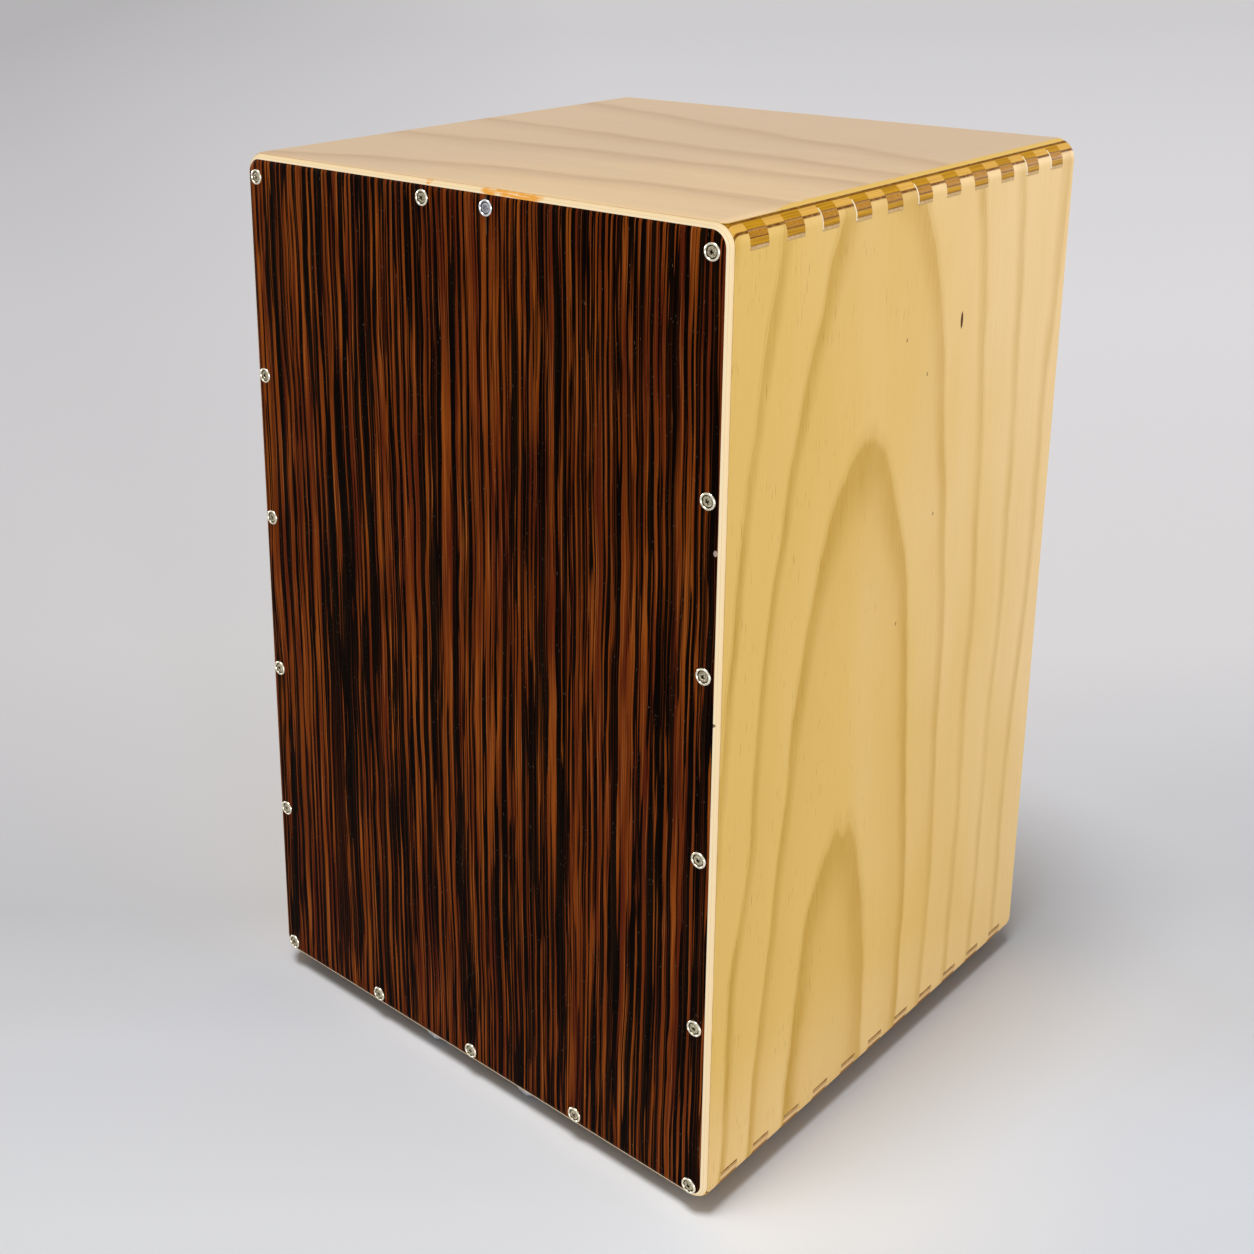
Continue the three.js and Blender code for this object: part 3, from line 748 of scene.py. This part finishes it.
def rubber_finish():
    """Matt black rubber with dust in its pits."""
    finish = Finish("foot_rubber")
    dust = finish.noise(finish.x / 3.0, finish.y / 3.0, finish.z / 3.0, 4.0, 0.6)
    pits = finish.noise(finish.x / 0.5, finish.y / 0.5, finish.z / 0.5, 2.0, 0.5)
    finish.set(
        Base_Color=dust.smooth(0.45, 0.8).blend(colour(26, 26, 27), colour(52, 51, 50)),
        Roughness=dust.span(0.2, 0.8, 0.62, 0.85),
    )
    finish.bump(pits, 0.08)
    return finish.material


# Shapes

# Edges that turn less than this are shaded smooth
SMOOTH_ANGLE = math.radians(32)
HALF_TURN = math.pi

# Points this close count as one, or as lying on a plane
TOUCH = 1e-6

# Faces round a turned piece
HOLE_STEPS = 16
SCREW_STEPS = 32
BOLT_STEPS = 40
ROUND_STEPS = 48
SOUND_HOLE_STEPS = 96

# Turns that make what points up point elsewhere
TO_FRONT = Matrix.Rotation(HALF_TURN / 2, 3, "X")
TO_BACK = Matrix.Rotation(-HALF_TURN / 2, 3, "X")
TO_FLOOR = Matrix.Rotation(HALF_TURN, 3, "X")


def piece_of(bm, name, material=None):
    """Makes a piece with smooth shading from a finished shape, which is used up."""
    bmesh.ops.recalc_face_normals(bm, faces=bm.faces)
    mesh = bpy.data.meshes.new(name)
    bm.to_mesh(mesh)
    bm.free()
    piece = bpy.data.objects.new(name, mesh)
    bpy.context.scene.collection.objects.link(piece)
    if material:
        mesh.materials.append(material)
    soften(piece)
    return piece


def soften(piece):
    mesh = piece.data
    mesh.shade_smooth()
    mesh.set_sharp_from_angle(angle=SMOOTH_ANGLE)


def settle(piece, body, node, flat=False):
    """Ends a piece: smooth shading, the body it rides on, and hiding the frame's node that it stands in
    for.

    A flat piece keeps its large faces flat up to their rounded edges.
    """
    soften(piece)
    if flat:
        piece.modifiers.new("flat_faces", "WEIGHTED_NORMAL").keep_sharp = True
    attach(piece, body)
    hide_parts(node)


def add_block(bm, low, high):
    """Adds a block between two corners and returns its points."""
    low, high = Vector(low), Vector(high)
    made = bmesh.ops.create_cube(bm, size=1)
    bmesh.ops.scale(bm, vec=high - low, verts=made["verts"])
    bmesh.ops.translate(bm, vec=(low + high) / 2, verts=made["verts"])
    return made["verts"]


def bevel(bm, edges, width, segments):
    bmesh.ops.bevel(
        bm, geom=edges, offset=width, offset_type="OFFSET", segments=segments, profile=0.5,
        affect="EDGES", material=-1)


def cutter_of(bm):
    return piece_of(bm, "cutter")


def carve(piece, operation, tool):
    """Cuts a piece with a tool, which is used up."""
    change = piece.modifiers.new("carve", "BOOLEAN")
    change.operation = operation
    change.solver = "EXACT"
    change.object = tool
    bpy.context.view_layer.update()
    shown = piece.evaluated_get(bpy.context.evaluated_depsgraph_get())
    mesh = bpy.data.meshes.new_from_object(shown)
    piece.modifiers.remove(change)
    before = piece.data
    mesh.name = before.name
    piece.data = mesh
    bpy.data.meshes.remove(before)
    bpy.data.objects.remove(tool)


def turned(bm, profile, steps):
    """Spins pairs of radius and height about the Z axis."""
    points = [bm.verts.new((radius, 0, height)) for radius, height in profile]
    edges = [bm.edges.new(pair) for pair in zip(points, points[1:])]
    bmesh.ops.spin(
        bm, geom=points + edges, cent=(0, 0, 0), axis=(0, 0, 1), angle=2 * math.pi,
        steps=steps, use_merge=True)
    bmesh.ops.remove_doubles(bm, verts=bm.verts, dist=1e-7)


def place_at(bm, turn, place):
    """Turns what was built about the Z axis to face another way, then moves it into place."""
    bmesh.ops.transform(bm, matrix=Matrix.Translation(place) @ turn.to_4x4(), verts=bm.verts)


def add_rod(bm, radius, start, end, steps, place, axis="y"):
    """Adds a rod that runs from start to end along an axis, at a place across it."""
    made = bmesh.ops.create_cone(
        bm, cap_ends=True, segments=steps, radius1=radius, radius2=radius, depth=end - start)
    verts = made["verts"]
    if axis == "y":
        bmesh.ops.rotate(bm, verts=verts, cent=(0, 0, 0), matrix=TO_FRONT)
        bmesh.ops.translate(bm, verts=verts, vec=(place[0], (start + end) / 2, place[1]))
    else:
        bmesh.ops.translate(bm, verts=verts, vec=(place[0], place[1], (start + end) / 2))


CORNER_SEGMENTS = 12
RIM_SEGMENTS = 8


def in_metres(profile):
    """Pairs of radius and height, from millimetres."""
    return [(radius * MM, height * MM) for radius, height in profile]


def drum_form():
    """The whole outside of the drum: rounded long edges, then the front and back rims."""
    bm = bmesh.new()
    add_block(bm, (-OUTER, BOARD_FRONT, UNDER), (OUTER, SHELL_BACK, TOP))
    long_edges = [e for e in bm.edges if abs(e.verts[0].co.y - e.verts[1].co.y) > CORNER]
    bevel(bm, long_edges, CORNER, CORNER_SEGMENTS)
    for plane, width in ((BOARD_FRONT, FRONT_ROUNDING), (SHELL_BACK, BACK_ROUNDING)):
        rim = [e for e in bm.edges if all(abs(v.co.y - plane) < TOUCH for v in e.verts)]
        bevel(bm, rim, width, RIM_SEGMENTS)
    return bm


# Each finger's reach from front to back; the fingers and the slots between them are equally wide
FINGERS = [
    (SHELL_FRONT + FIRST_FINGER + 2 * i * FINGER_WIDTH,
     SHELL_FRONT + FIRST_FINGER + (2 * i + 1) * FINGER_WIDTH)
    for i in range(FINGER_COUNT)
]


def between_fingers():
    """The stretches in front of, between and behind the fingers, short of them by a glue line."""
    stretches = []
    start = SHELL_FRONT - OVERRUN
    for near, far in FINGERS:
        stretches.append((start, near + GLUE_LINE))
        start = far - GLUE_LINE
    stretches.append((start, SHELL_BACK + OVERRUN))
    return stretches


def blocks(pairs):
    """A tool of several blocks that don't touch, each between two corners."""
    bm = bmesh.new()
    for low, high in pairs:
        add_block(bm, low, high)
    return cutter_of(bm)


def shell_panel(node, low, high, cuts, material):
    """The part of the drum's outside between two corners, less its cuts."""
    piece = piece_of(drum_form(), f"{node}_fine", material)
    carve(piece, "INTERSECT", blocks([(low, high)]))
    carve(piece, "DIFFERENCE", blocks(cuts))
    settle(piece, "shell", node, flat=True)


def side_panel(side, material):
    """A side, to the right for 1 and to the left for -1, with a slot for each finger."""
    across = sorted((side * INNER, side * (OUTER + OVERRUN)))
    slot = sorted((side * (INNER - OVERRUN), side * (OUTER + 2 * OVERRUN)))
    cuts = []
    for near, far in FINGERS:
        cuts.append(((slot[0], near, CEILING - GLUE_LINE), (slot[1], far, TOP + OVERRUN)))
        cuts.append(((slot[0], near, UNDER - 2 * OVERRUN), (slot[1], far, FLOOR_FACE + GLUE_LINE)))
    word = "right" if side > 0 else "left"
    shell_panel(
        f"{word}_side",
        (across[0], SHELL_FRONT, UNDER - OVERRUN),
        (across[1], SHELL_BACK, TOP - FACE_LAP - GLUE_LINE),
        cuts, material)


def end_panel(node, low, high, gap_low, gap_high, material):
    """The seat or the floor panel between two heights, with gaps between its fingers."""
    cuts = []
    for near, far in between_fingers():
        for side in (-1, 1):
            gap = sorted((side * (INNER - GLUE_LINE), side * (OUTER + 2 * OVERRUN)))
            cuts.append(((gap[0], near, gap_low), (gap[1], far, gap_high)))
    shell_panel(
        node,
        (-OUTER - OVERRUN, SHELL_FRONT, low),
        (OUTER + OVERRUN, SHELL_BACK, high),
        cuts, material)


BOARD_SCREWS = [f"tapa_screw_{i:02d}" for i in range(1, 18)]
BACK_SCREWS = [f"back_screw_{i:02d}" for i in range(1, 9)]
SCREW_SHANK = 1.7 * MM
BACK_SHANK = 1.5 * MM
FOOT_SHANK = 1.8 * MM


def playing_board(material):
    """The front of the drum's outside, as deep as the board, with its screw holes."""
    piece = piece_of(drum_form(), "tapa_fine", material)
    carve(piece, "INTERSECT", blocks([(
        (-OUTER - OVERRUN, BOARD_FRONT - OVERRUN, UNDER - OVERRUN),
        (OUTER + OVERRUN, BOARD_BACK, TOP + OVERRUN))]))
    bm = bmesh.new()
    for node in BOARD_SCREWS:
        place = middle_of(node)
        add_rod(bm, SCREW_SHANK + HOLE_CLEARANCE, BOARD_FRONT - OVERRUN, BOARD_BACK + OVERRUN,
                HOLE_STEPS, (place.x, place.z))
    carve(piece, "DIFFERENCE", cutter_of(bm))
    settle(piece, "shell", "tapa", flat=True)


SOUND_HOLE = 56 * MM
SOUND_HOLE_CENTRE = (0, UNDER + 262 * MM)
SOUND_HOLE_EASE = 0.8 * MM
RIM_SLACK = 0.05 * MM
BACK_HEAD = 3.4 * MM
BACK_HEAD_DEPTH = 1.7 * MM


def back_board(material):
    """A thin board with the sound hole, and a countersunk hole for each of its screws."""
    low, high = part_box("back_panel")
    bm = bmesh.new()
    add_block(bm, low, high)
    piece = piece_of(bm, "back_panel_fine", material)
    bm = bmesh.new()
    add_rod(bm, SOUND_HOLE, low.y - OVERRUN, high.y + OVERRUN, SOUND_HOLE_STEPS, SOUND_HOLE_CENTRE)
    carve(piece, "DIFFERENCE", cutter_of(bm))
    shank = BACK_SHANK + HOLE_CLEARANCE
    head = BACK_HEAD + HOLE_CLEARANCE
    for node in BACK_SCREWS:
        place = middle_of(node)
        bm = bmesh.new()
        turned(bm, [
            (0.0, -OVERRUN), (shank, -OVERRUN), (shank, -BACK_HEAD_DEPTH - HOLE_CLEARANCE),
            (head, 0.0), (head, OVERRUN), (0.0, OVERRUN)], SCREW_STEPS)
        place_at(bm, TO_BACK, (place.x, high.y, place.z))
        carve(piece, "DIFFERENCE", cutter_of(bm))
    ease_hole(piece, SOUND_HOLE_CENTRE)
    settle(piece, "shell", "back_panel", flat=True)


def ease_hole(piece, centre):
    """Rounds both edges of the sound hole a little."""
    bm = bmesh.new()
    bm.from_mesh(piece.data)
    rim = []
    for edge in bm.edges:
        first, second = (v.co for v in edge.verts)
        on_rim = all(
            abs(math.hypot(co.x - centre[0], co.z - centre[1]) - SOUND_HOLE) < RIM_SLACK
            for co in (first, second))
        if on_rim and abs(first.y - second.y) < TOUCH:
            rim.append(edge)
    bevel(bm, rim, SOUND_HOLE_EASE, 3)
    bm.to_mesh(piece.data)
    bm.free()


# Small pieces

# From one screw of a row to the next, its recess stands this much further round, in radians
TURN_STEP = 0.7

# A cross recess, and how far its arms draw in towards its floor
CROSS_ARM = 1.9 * MM
CROSS_WIDTH = 0.8 * MM
CROSS_TAPER = 0.35

# How thick the screws' roots are under their threads, as a share of the thread
ROOT = 0.72

# Profiles from the outside of the seat to the middle of the top, as radii and heights in
# millimetres: the board's screw heads, a cupped rim with a dome in it, and the foot screws' heads
RIMMED_HEAD = (
    (4.1, 0.0), (4.1, 0.3), (4.0, 0.6), (3.78, 0.84), (3.5, 0.95), (3.2, 0.88), (2.95, 0.62),
    (2.82, 0.2), (2.64, 0.16), (2.5, 0.4), (2.2, 0.58), (1.5, 0.7), (0.0, 0.74),
)
PAN_HEAD = ((3.95, 0.0), (4.0, 0.9), (3.75, 1.6), (3.2, 2.05), (2.2, 2.2), (0.0, 2.2))

# A rubber foot, from the floor of its well down the hole, round the tread and back up
FOOT = (
    (1.95, 4.0), (5.2, 4.0), (5.4, 3.8), (5.4, 0.3), (5.7, 0.0), (11.2, 0.0), (11.85, 0.15),
    (12.3, 0.6), (12.45, 1.2), (13.2, 4.5), (13.75, 6.9), (13.75, 7.5), (13.5, 7.9), (1.95, 7.9),
    (1.95, 4.0),
)


def threaded(shank, length, point, pitch, height):
    """The profile of a wood screw's shank from its tip up: a point, then ridges, then a neck."""
    profile = [(0.0, -length)]
    root = shank * ROOT
    steps = int((length - point) * 0.7 / pitch)
    profile.append((root * 0.9, -length + point * 0.9))
    for i in range(steps):
        base = -length + point + i * pitch
        profile += [(root, base), (shank, base + pitch * 0.5), (root, base + pitch * 0.9)]
    profile.append((shank * 0.95, -length + point + steps * pitch + pitch * 0.3))
    profile.append((shank * 0.95, height))
    return profile


def cross_tools(arm, width, bottom, top):
    """The two tapered arms of a cross recess."""
    arms = []
    for turn in (0, HALF_TURN / 2):
        bm = bmesh.new()
        for vert in add_block(bm, (-arm, -width / 2, bottom), (arm, width / 2, top)):
            if vert.co.z < (bottom + top) / 2:
                vert.co.x *= CROSS_TAPER
        bmesh.ops.rotate(bm, verts=bm.verts, cent=(0, 0, 0), matrix=Matrix.Rotation(turn, 3, "Z"))
        arms.append(bm)
    return arms


def screw_master(name, profile, recess):
    """One screw of a kind, about the Z axis with its head up, to be copied."""
    bm = bmesh.new()
    turned(bm, profile, SCREW_STEPS)
    master = piece_of(bm, name)
    for tool in recess:
        carve(master, "DIFFERENCE", cutter_of(tool))
    return master


def screws_like(master, nodes, seats, facing, material):
    """Copies a screw to every seat of a row, and uses it up."""
    for i, (node, seat) in enumerate(zip(nodes, seats)):
        bm = bmesh.new()
        bm.from_mesh(master.data)
        turn = facing @ Matrix.Rotation(i * TURN_STEP, 3, "Z")
        place_at(bm, turn, seat)
        piece = piece_of(bm, f"{node}_fine", material)
        note_reach(piece, seat, facing @ Vector((0, 0, 1)))
        settle(piece, "shell", node)
    bpy.data.objects.remove(master)


def note_reach(piece, seat, axis):
    """Keeps each point's distance from a screw's axis, for the finish to read."""
    reach = piece.data.attributes.new("reach", "FLOAT", "POINT")
    for vert, value in zip(piece.data.vertices, reach.data):
        value.value = axis.cross(vert.co - Vector(seat)).length / MM


# Between the board's face and the underside of a screw's rim
SEAT_GAP = 0.05 * MM
SQUARE_RECESS = 2.3 * MM


def board_screws(material, odd_material):
    """Rimmed screws round the playing board.

    Screw 03 is a brighter one, and its recess is square.
    """
    shank = threaded(SCREW_SHANK, length=22 * MM, point=4 * MM, pitch=1.3 * MM, height=0.0)
    profile = shank + in_metres(RIMMED_HEAD)
    seats = []
    for node in BOARD_SCREWS:
        place = middle_of(node)
        seats.append((place.x, BOARD_FRONT - SEAT_GAP, place.z))
    odd = BOARD_SCREWS.index("tapa_screw_03")
    common = [i for i in range(len(BOARD_SCREWS)) if i != odd]
    cross = cross_tools(arm=1.75 * MM, width=CROSS_WIDTH, bottom=-0.5 * MM, top=2 * MM)
    master = screw_master("rimmed", profile, cross)
    screws_like(
        master, [BOARD_SCREWS[i] for i in common], [seats[i] for i in common], TO_FRONT, material)
    half = SQUARE_RECESS / 2
    square = bmesh.new()
    made = add_block(square, (-half, -half, -0.4 * MM), (half, half, 2 * MM))
    bmesh.ops.rotate(
        square, verts=made, cent=(0, 0, 0), matrix=Matrix.Rotation(HALF_TURN / 4, 3, "Z"))
    master = screw_master("odd_head", profile, [square])
    screws_like(master, [BOARD_SCREWS[odd]], [seats[odd]], TO_FRONT, odd_material)


def back_screws(material):
    """Countersunk screws, flush with the back board."""
    profile = threaded(
        BACK_SHANK, length=12 * MM, point=3 * MM, pitch=1.1 * MM, height=-BACK_HEAD_DEPTH)
    profile += [(BACK_HEAD - 0.1 * MM, -0.12 * MM), (BACK_HEAD, 0.0), (0.0, 0.0)]
    cross = cross_tools(arm=CROSS_ARM, width=CROSS_WIDTH, bottom=-1.4 * MM, top=1 * MM)
    master = screw_master("flat_head", profile, cross)
    seats = []
    for node in BACK_SCREWS:
        place = middle_of(node)
        seats.append((place.x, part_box(node)[1].y, place.z))
    screws_like(master, BACK_SCREWS, seats, TO_BACK, material)


def feet(rubber, steel):
    """Rubber feet that widen upwards, each with a pan head screw sunk in it."""
    shank = threaded(FOOT_SHANK, length=14 * MM, point=3 * MM, pitch=1.2 * MM, height=0.0)
    cross = cross_tools(arm=CROSS_ARM, width=CROSS_WIDTH, bottom=0.7 * MM, top=4 * MM)
    master = screw_master("pan_head", shank + in_metres(PAN_HEAD), cross)
    head_height = PAN_HEAD[-1][1] * MM
    nodes = [f"foot_screw_{i:02d}" for i in range(1, 5)]
    seats = []
    for i, node in enumerate(nodes):
        foot = f"foot_{i + 1:02d}"
        place = middle_of(foot)
        seats.append((place.x, place.y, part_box(node)[0].z + head_height))
        bm = bmesh.new()
        turned(bm, in_metres(FOOT), ROUND_STEPS)
        place_at(bm, Matrix.Identity(3), (place.x, place.y, 0))
        settle(piece_of(bm, f"{foot}_fine", rubber), "shell", foot)
    screws_like(master, nodes, seats, TO_FLOOR, steel)


BATTEN_EASE = 0.5 * MM
HARDWOOD_EASE = 1.5 * MM


def bar(node, ease, material):
    """A sawn bar with eased edges in the place of a plain one."""
    low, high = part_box(node)
    bm = bmesh.new()
    add_block(bm, low, high)
    bevel(bm, bm.edges[:], ease, 2)
    settle(piece_of(bm, f"{node}_fine", material), "shell", node, flat=True)


# Radii and lengths of the tension bolts, their washers and carriers
BOLT = 3.0 * MM
BOLT_HEAD = 5.2 * MM
BOLT_HEAD_HEIGHT = 3.6 * MM
BOLT_SOCKET = 2.3 * MM
BOLT_SOCKET_DEPTH = 2.2 * MM
BOLT_THREAD_FROM = 18 * MM
BOLT_PITCH = 1 * MM
BOLT_THREAD_DEPTH = 0.45 * MM
BOLT_TIP = 0.6 * MM
WASHER_HOLE = 3.4 * MM
WASHER = 7.5 * MM
WASHER_EASE = 0.2 * MM
CARRIER_EASE = 0.9 * MM
CARRIER_CLEARANCE = 0.1 * MM


def tension_bolt(side, steel):
    """A round headed bolt with a hexagon socket, head down, threaded over its upper part."""
    node = f"tension_bolt_{side}"
    low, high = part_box(node)
    length = high.z - low.z
    profile = [
        (0.0, 0.0), (BOLT_HEAD - 0.7 * MM, 0.0), (BOLT_HEAD - 0.3 * MM, 0.12 * MM),
        (BOLT_HEAD - 0.08 * MM, 0.4 * MM), (BOLT_HEAD, 0.8 * MM), (BOLT_HEAD, BOLT_HEAD_HEIGHT),
        (BOLT, BOLT_HEAD_HEIGHT), (BOLT, BOLT_THREAD_FROM),
    ]
    base = BOLT_THREAD_FROM
    while base + BOLT_PITCH < length - BOLT_TIP:
        profile += [
            (BOLT - BOLT_THREAD_DEPTH, base + BOLT_PITCH * 0.4),
            (BOLT - 0.02 * MM, base + BOLT_PITCH),
        ]
        base += BOLT_PITCH
    profile += [(BOLT - BOLT_TIP, length), (0.0, length)]
    bm = bmesh.new()
    turned(bm, profile, BOLT_STEPS)
    piece = piece_of(bm, f"{node}_fine", steel)
    bm = bmesh.new()
    add_rod(bm, BOLT_SOCKET, -OVERRUN, BOLT_SOCKET_DEPTH, 6, (0, 0), "z")
    carve(piece, "DIFFERENCE", cutter_of(bm))
    axis = middle_of(node)
    piece.data.transform(Matrix.Translation((axis.x, axis.y, low.z)))
    settle(piece, f"bolt_{side}", node)


def bolt_washer(side, steel):
    """A flat ring with eased edges under a tension bolt's head."""
    node = f"bolt_washer_{side}"
    low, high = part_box(node)
    rise = high.z - low.z
    ease = WASHER_EASE
    bm = bmesh.new()
    turned(bm, [
        (WASHER_HOLE, ease), (WASHER_HOLE + ease, 0.0), (WASHER - ease, 0.0), (WASHER, ease),
        (WASHER, rise - ease), (WASHER - ease, rise), (WASHER_HOLE + ease, rise),
        (WASHER_HOLE, rise - ease), (WASHER_HOLE, ease)], ROUND_STEPS)
    axis = middle_of(node)
    place_at(bm, Matrix.Identity(3), (axis.x, axis.y, low.z))
    settle(piece_of(bm, f"{node}_fine", steel), "shell", node)


def wire_carrier(side, brass):
    """The block on a tension bolt that pulls a pair of wires."""
    node = f"wire_carrier_{side}"
    low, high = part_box(node)
    bm = bmesh.new()
    add_block(bm, low, high)
    bevel(bm, bm.edges[:], CARRIER_EASE, 3)
    piece = piece_of(bm, f"{node}_fine", brass)
    axis = middle_of(f"tension_bolt_{side}")
    bm = bmesh.new()
    add_rod(bm, BOLT + CARRIER_CLEARANCE, low.z - OVERRUN, high.z + OVERRUN, SCREW_STEPS,
            (axis.x, axis.y), "z")
    carve(piece, "DIFFERENCE", cutter_of(bm))
    settle(piece, f"carrier_{side}", node, flat=True)


WIRE = 0.4 * MM
WIRE_STEPS = 12
WIRE_CUTS = 24


def tuned_wire(side, place, material):
    """A wire from its carrier up to the anchor bar."""
    node = f"wire_{side}_{place}"
    low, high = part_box(node)
    middle = (low + high) / 2
    bm = bmesh.new()
    add_rod(bm, WIRE, low.z, high.z, WIRE_STEPS, (middle.x, middle.y), "z")
    long_edges = [e for e in bm.edges if abs(e.verts[0].co.z - e.verts[1].co.z) > high.z - middle.z]
    bmesh.ops.subdivide_edges(bm, edges=long_edges, cuts=WIRE_CUTS, use_grid_fill=True)
    piece = piece_of(bm, f"{node}_fine", material)
    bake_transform(piece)
    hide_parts(node)


# Studio

FLOOR_REACH = 14.0

# The paper floor's tones by how far it has run back from the drum, in metres. They paint light and shade:
# brightest in front, a band of painted shadow level with the drum, and dimmer far back
FLOOR_TURN = math.radians(43.8)
FLOOR_NEAR = -0.25
FLOOR_FAR = 7.0
FLOOR_LIGHT_AND_SHADE = (
    (-0.21, (250, 252, 255)),
    (-0.08, (236, 238, 243)),
    (0.05, (207, 209, 215)),
    (0.25, (220, 220, 224)),
    (0.44, (230, 228, 230)),
    (1.56, (234, 232, 234)),
    (6.8, (218, 216, 218)),
)
# Its left side is darker with painted shade
LEFT_SHADE_FROM = 0.3
LEFT_SHADE_TO = -2.2
LEFT_SHADE_TONE = (190, 188, 190)
# Near its right side it has a painted shadow in a cooler tone, which also cancels the warm light that the
# drum throws on it, most of all in front
RIGHT_SHADOW_TONE = (208, 210, 217)
RIGHT_SHADOW_FRONT = (212, 220, 236)
RIGHT_SHADOW_SHARE = 0.75

# The room's tone and even light, and how bright the room looks where the floor ends
ROOM_TONE = (240, 240, 240)
ROOM_LIGHT = 0.24
ROOM_SEEN = 0.8


def paper_floor():
    """A wide round floor of pale paper, whose tone changes with the distance from the drum, with painted
    light and shade.
    """
    bm = bmesh.new()
    bmesh.ops.create_circle(bm, cap_ends=True, segments=64, radius=FLOOR_REACH)
    finish = Finish("studio_floor")
    behind = finish.y * math.cos(FLOOR_TURN) - finish.x * math.sin(FLOOR_TURN)
    share = behind.span(FLOOR_NEAR / MM, FLOOR_FAR / MM, 0.0, 1.0) ** 0.5
    depth = FLOOR_FAR - FLOOR_NEAR
    stops = [
        (math.sqrt((place - FLOOR_NEAR) / depth), colour(*tone)[:3]) for place, tone in FLOOR_LIGHT_AND_SHADE
    ]
    # The ramp paints light and shade on the floor, with a painted shadow band level with the drum
    tone = share.node("ShaderNodeValToRGB", {"stops": stops}, {0: share})
    across = finish.x * math.cos(FLOOR_TURN) + finish.y * math.sin(FLOOR_TURN)
    # Painted shade, darker towards the floor's left side
    left_shade = across.span(LEFT_SHADE_TO / MM, LEFT_SHADE_FROM / MM, 1.0, 0.0)
    tone = left_shade.blend(tone, colour(*LEFT_SHADE_TONE))
    # A painted shadow in a cooler tone on the floor to the right of the drum
    right_shadow_area = across.smooth(-60.0, 240.0) * across.smooth(1100.0, 450.0) * behind.smooth(420.0, -60.0)
    right_shadow = behind.smooth(-60.0, -180.0).blend(colour(*RIGHT_SHADOW_TONE), colour(*RIGHT_SHADOW_FRONT))
    tone = (right_shadow_area * RIGHT_SHADOW_SHARE).blend(tone, right_shadow)
    finish.set(Base_Color=tone, Roughness=0.9, Specular_IOR_Level=0.05)
    piece_of(bm, "studio_floor", finish.material)


def pale_room():
    """Dim light from all round, in a room that looks pale itself and in what mirrors it."""
    world = bpy.data.worlds.new("studio")
    bpy.context.scene.world = world
    world.use_nodes = True
    tree = world.node_tree
    start = Shade(tree, None)
    seen = start.node("ShaderNodeLightPath", output="Is Camera Ray")
    rays = seen.socket.node.outputs
    mirrored = [Shade(tree, rays[name]) for name in ("Is Glossy Ray", "Is Transmission Ray")]
    seen = strongest(seen, *mirrored)
    strength = seen * (ROOM_SEEN - ROOM_LIGHT) + ROOM_LIGHT
    tree.links.new(strength.socket, tree.nodes["Background"].inputs["Strength"])
    tree.nodes["Background"].inputs["Color"].default_value = colour(*ROOM_TONE)


def far_lamp(name, towards, strength, width):
    """A lamp so far away that only its direction, strength and width in degrees count."""
    light = bpy.data.lights.new(name, "SUN")
    light.energy = strength
    light.angle = math.radians(width)
    holder = bpy.data.objects.new(name, light)
    turn = Vector(towards).to_track_quat("Z", "Y")
    holder.matrix_world = Matrix.Translation(towards) @ turn.to_matrix().to_4x4()
    bpy.context.scene.collection.objects.link(holder)


# Studio: the low lamps light the walls without lighting the floor
set_camera()
paper_floor()
pale_room()
far_lamp("overhead", towards=(-0.01, -0.21, 1.0), strength=1.92, width=20)
far_lamp("side", towards=(1.0, -0.5, 0.03), strength=1.7, width=9)
far_lamp("left", towards=(-1.0, -0.12, 0.08), strength=0.9, width=9)
far_lamp("back", towards=(0.25, 1.0, 0.08), strength=0.9, width=9)

# The box
side_ply = side_panel_finish()
for side in (1, -1):
    side_panel(side, side_ply)
end_panel(
    "top_panel",
    low=CEILING,
    high=TOP + OVERRUN,
    gap_low=CEILING - OVERRUN,
    gap_high=TOP - FACE_LAP,
    material=seat_finish(),
)
end_panel(
    "bottom_panel",
    low=UNDER - OVERRUN,
    high=FLOOR_FACE,
    gap_low=UNDER - 2 * OVERRUN,
    gap_high=FLOOR_FACE + OVERRUN,
    material=floor_board_finish(),
)
playing_board(board_finish())
back_board(back_board_finish())

# The bars inside
pine_up = bar_finish("batten_wood_up", "z", PINE)
pine_across = bar_finish("batten_wood_across", "x", PINE)
hardwood = bar_finish("hardwood_bar", "x", OAK)
for place, wood in (
    ("left", pine_up), ("right", pine_up), ("top", pine_across), ("bottom", pine_across),
):
    bar(f"back_batten_{place}", BATTEN_EASE, wood)
for node in ("wire_anchor", "tuner_rail"):
    bar(node, HARDWOOD_EASE, hardwood)

# Screws, feet and the tuned wires
nickel = metal_finish("nickel_plate", NICKEL, gloss=(0.2, 0.34), scratches=0.5)
bright_nickel = metal_finish("bright_nickel", BRIGHT_NICKEL, gloss=(0.16, 0.3), scratches=0.5)
zinc = metal_finish("zinc_plate", ZINC, gloss=(0.28, 0.45), scratches=0.6)
brass = metal_finish("brass", BRASS, gloss=(0.25, 0.42), scratches=0.5)
board_screws(nickel, bright_nickel)
back_screws(zinc)
feet(rubber_finish(), zinc)
string_steel = wire_finish()
for side in ("left", "right"):
    tension_bolt(side, zinc)
    bolt_washer(side, zinc)
    wire_carrier(side, brass)
    for place in ("outer", "inner"):
        tuned_wire(side, place, string_steel)

scene = bpy.context.scene
scene.view_settings.view_transform = "Standard"
